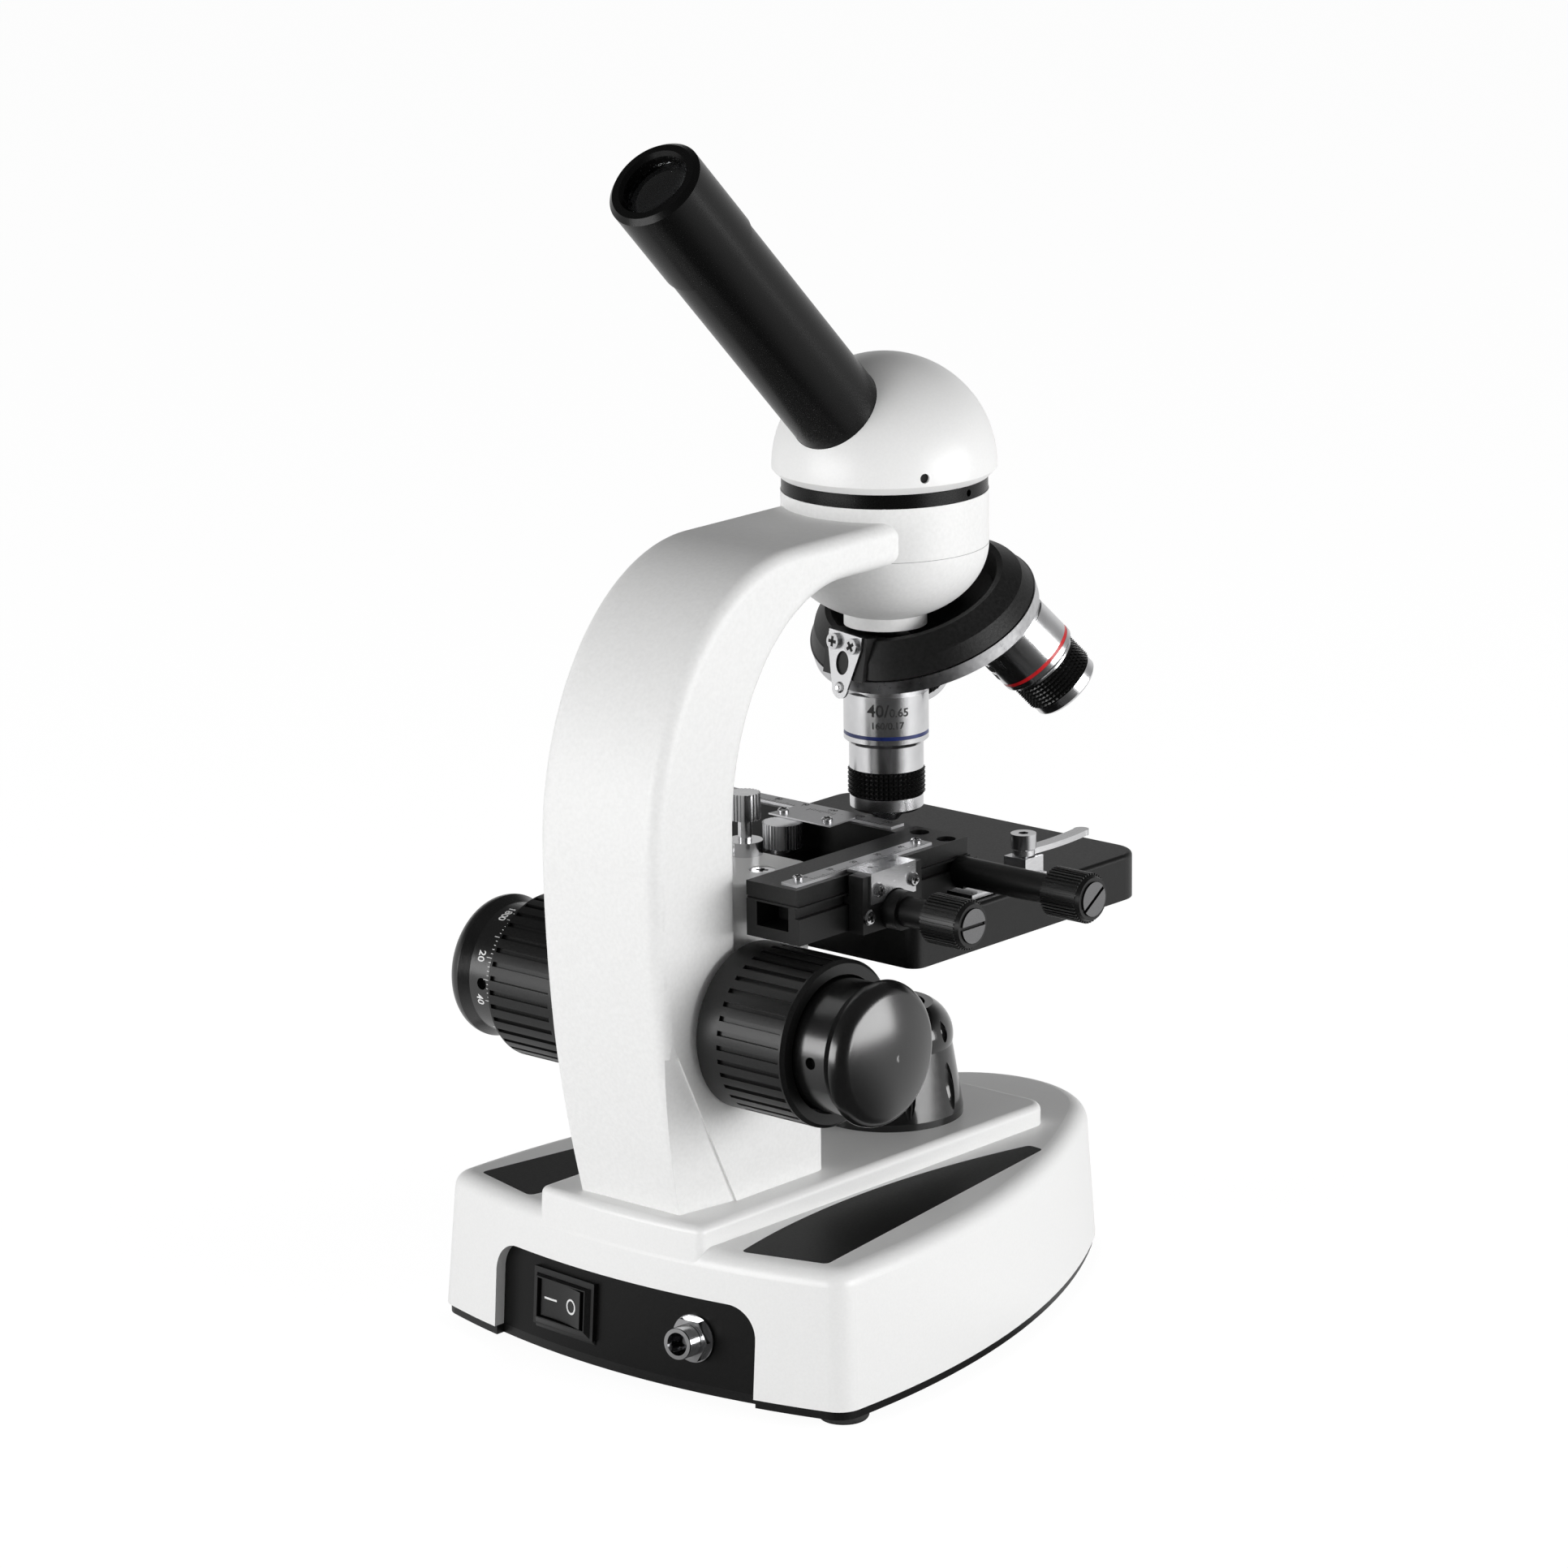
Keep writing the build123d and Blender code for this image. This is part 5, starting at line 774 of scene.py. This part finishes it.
def make_floor():
    """White floor that keeps a soft shadow; reflections see it dim in front of the object."""
    mesh = bpy.data.meshes.new("floor")
    corners = [(-FLOOR_HALF, -FLOOR_HALF, 0), (FLOOR_HALF, -FLOOR_HALF, 0),
               (FLOOR_HALF, FLOOR_HALF, 0), (-FLOOR_HALF, FLOOR_HALF, 0)]
    mesh.from_pydata(corners, [], [(0, 1, 2, 3)])
    floor = bpy.data.objects.new("floor", mesh)
    bpy.context.scene.collection.objects.link(floor)
    mat = bpy.data.materials.new("floor_white")
    mat.use_nodes = True
    tree = mat.node_tree
    tree.nodes.clear()
    out = tree.nodes.new("ShaderNodeOutputMaterial")
    diffuse = tree.nodes.new("ShaderNodeBsdfDiffuse")
    diffuse.inputs["Color"].default_value = FLOOR_COLOUR
    glow = tree.nodes.new("ShaderNodeEmission")
    mix = tree.nodes.new("ShaderNodeMixShader")
    rays = tree.nodes.new("ShaderNodeLightPath")
    mirrored = combined(tree, "ADD", rays.outputs["Is Glossy Ray"], rays.outputs["Is Transmission Ray"])
    direct = scaled(tree, rays.outputs["Is Camera Ray"], 0.0, 1.0, 0.0, FLOOR_GLOW)
    spot = tree.nodes.new("ShaderNodeNewGeometry")
    outwards = tree.nodes.new("ShaderNodeVectorMath")
    outwards.operation = "NORMALIZE"
    link = tree.links.new
    link(spot.outputs["Position"], outwards.inputs[0])
    side = scaled(tree, facing_backdrop(tree, outwards.outputs["Vector"]), *DIM_FRONT, ROOM, FLOOR_MIRROR)
    strength = tree.nodes.new("ShaderNodeMix")
    strength.inputs["A"].default_value = FLOOR_WHITE
    link(mirrored, strength.inputs["Factor"])
    link(side, strength.inputs["B"])
    link(strength.outputs["Result"], glow.inputs["Strength"])
    link(combined(tree, "ADD", direct, mirrored), mix.inputs["Fac"])
    link(diffuse.outputs[0], mix.inputs[1])
    link(glow.outputs[0], mix.inputs[2])
    link(mix.outputs[0], out.inputs["Surface"])
    mesh.materials.append(mat)


def make_world():
    """White backdrop; reflections see it behind the object and a dim room in front of it."""
    world = bpy.data.worlds.new("studio")
    bpy.context.scene.world = world
    world.use_nodes = True
    tree = world.node_tree
    ground = tree.nodes["Background"]
    ground.inputs["Color"].default_value = (*grey(1), 1)
    coords = tree.nodes.new("ShaderNodeTexCoord")
    split = tree.nodes.new("ShaderNodeSeparateXYZ")
    link = tree.links.new
    link(coords.outputs["Generated"], split.inputs[0])
    behind = scaled(tree, facing_backdrop(tree, coords.outputs["Generated"]), *DIM_FRONT, 0.0, 1.0)
    low = scaled(tree, split.outputs["Z"], WALL_LOW, WALL_HIGH, 1.0, CEILING)
    mirrored = scaled(tree, combined(tree, "MULTIPLY", behind, low), 0.0, 1.0, ROOM, ROOM_SIDES)
    diffuse = scaled(tree, split.outputs["Z"], 0.0, 1.0, SKY_LOW, SKY_HIGH)
    rays = tree.nodes.new("ShaderNodeLightPath")
    reflected = combined(tree, "ADD", rays.outputs["Is Glossy Ray"], rays.outputs["Is Transmission Ray"])
    strength = tree.nodes.new("ShaderNodeMix")
    link(reflected, strength.inputs["Factor"])
    link(diffuse, strength.inputs["A"])
    link(mirrored, strength.inputs["B"])
    total = combined(tree, "ADD", strength.outputs["Result"], rays.outputs["Is Camera Ray"])
    link(total, ground.inputs["Strength"])


make_camera()
make_floor()
make_world()
make_light("key", azimuth=-16, power=15.6)
make_light("fill", azimuth=108, power=18.0)
bpy.context.scene.view_settings.view_transform = "Standard"
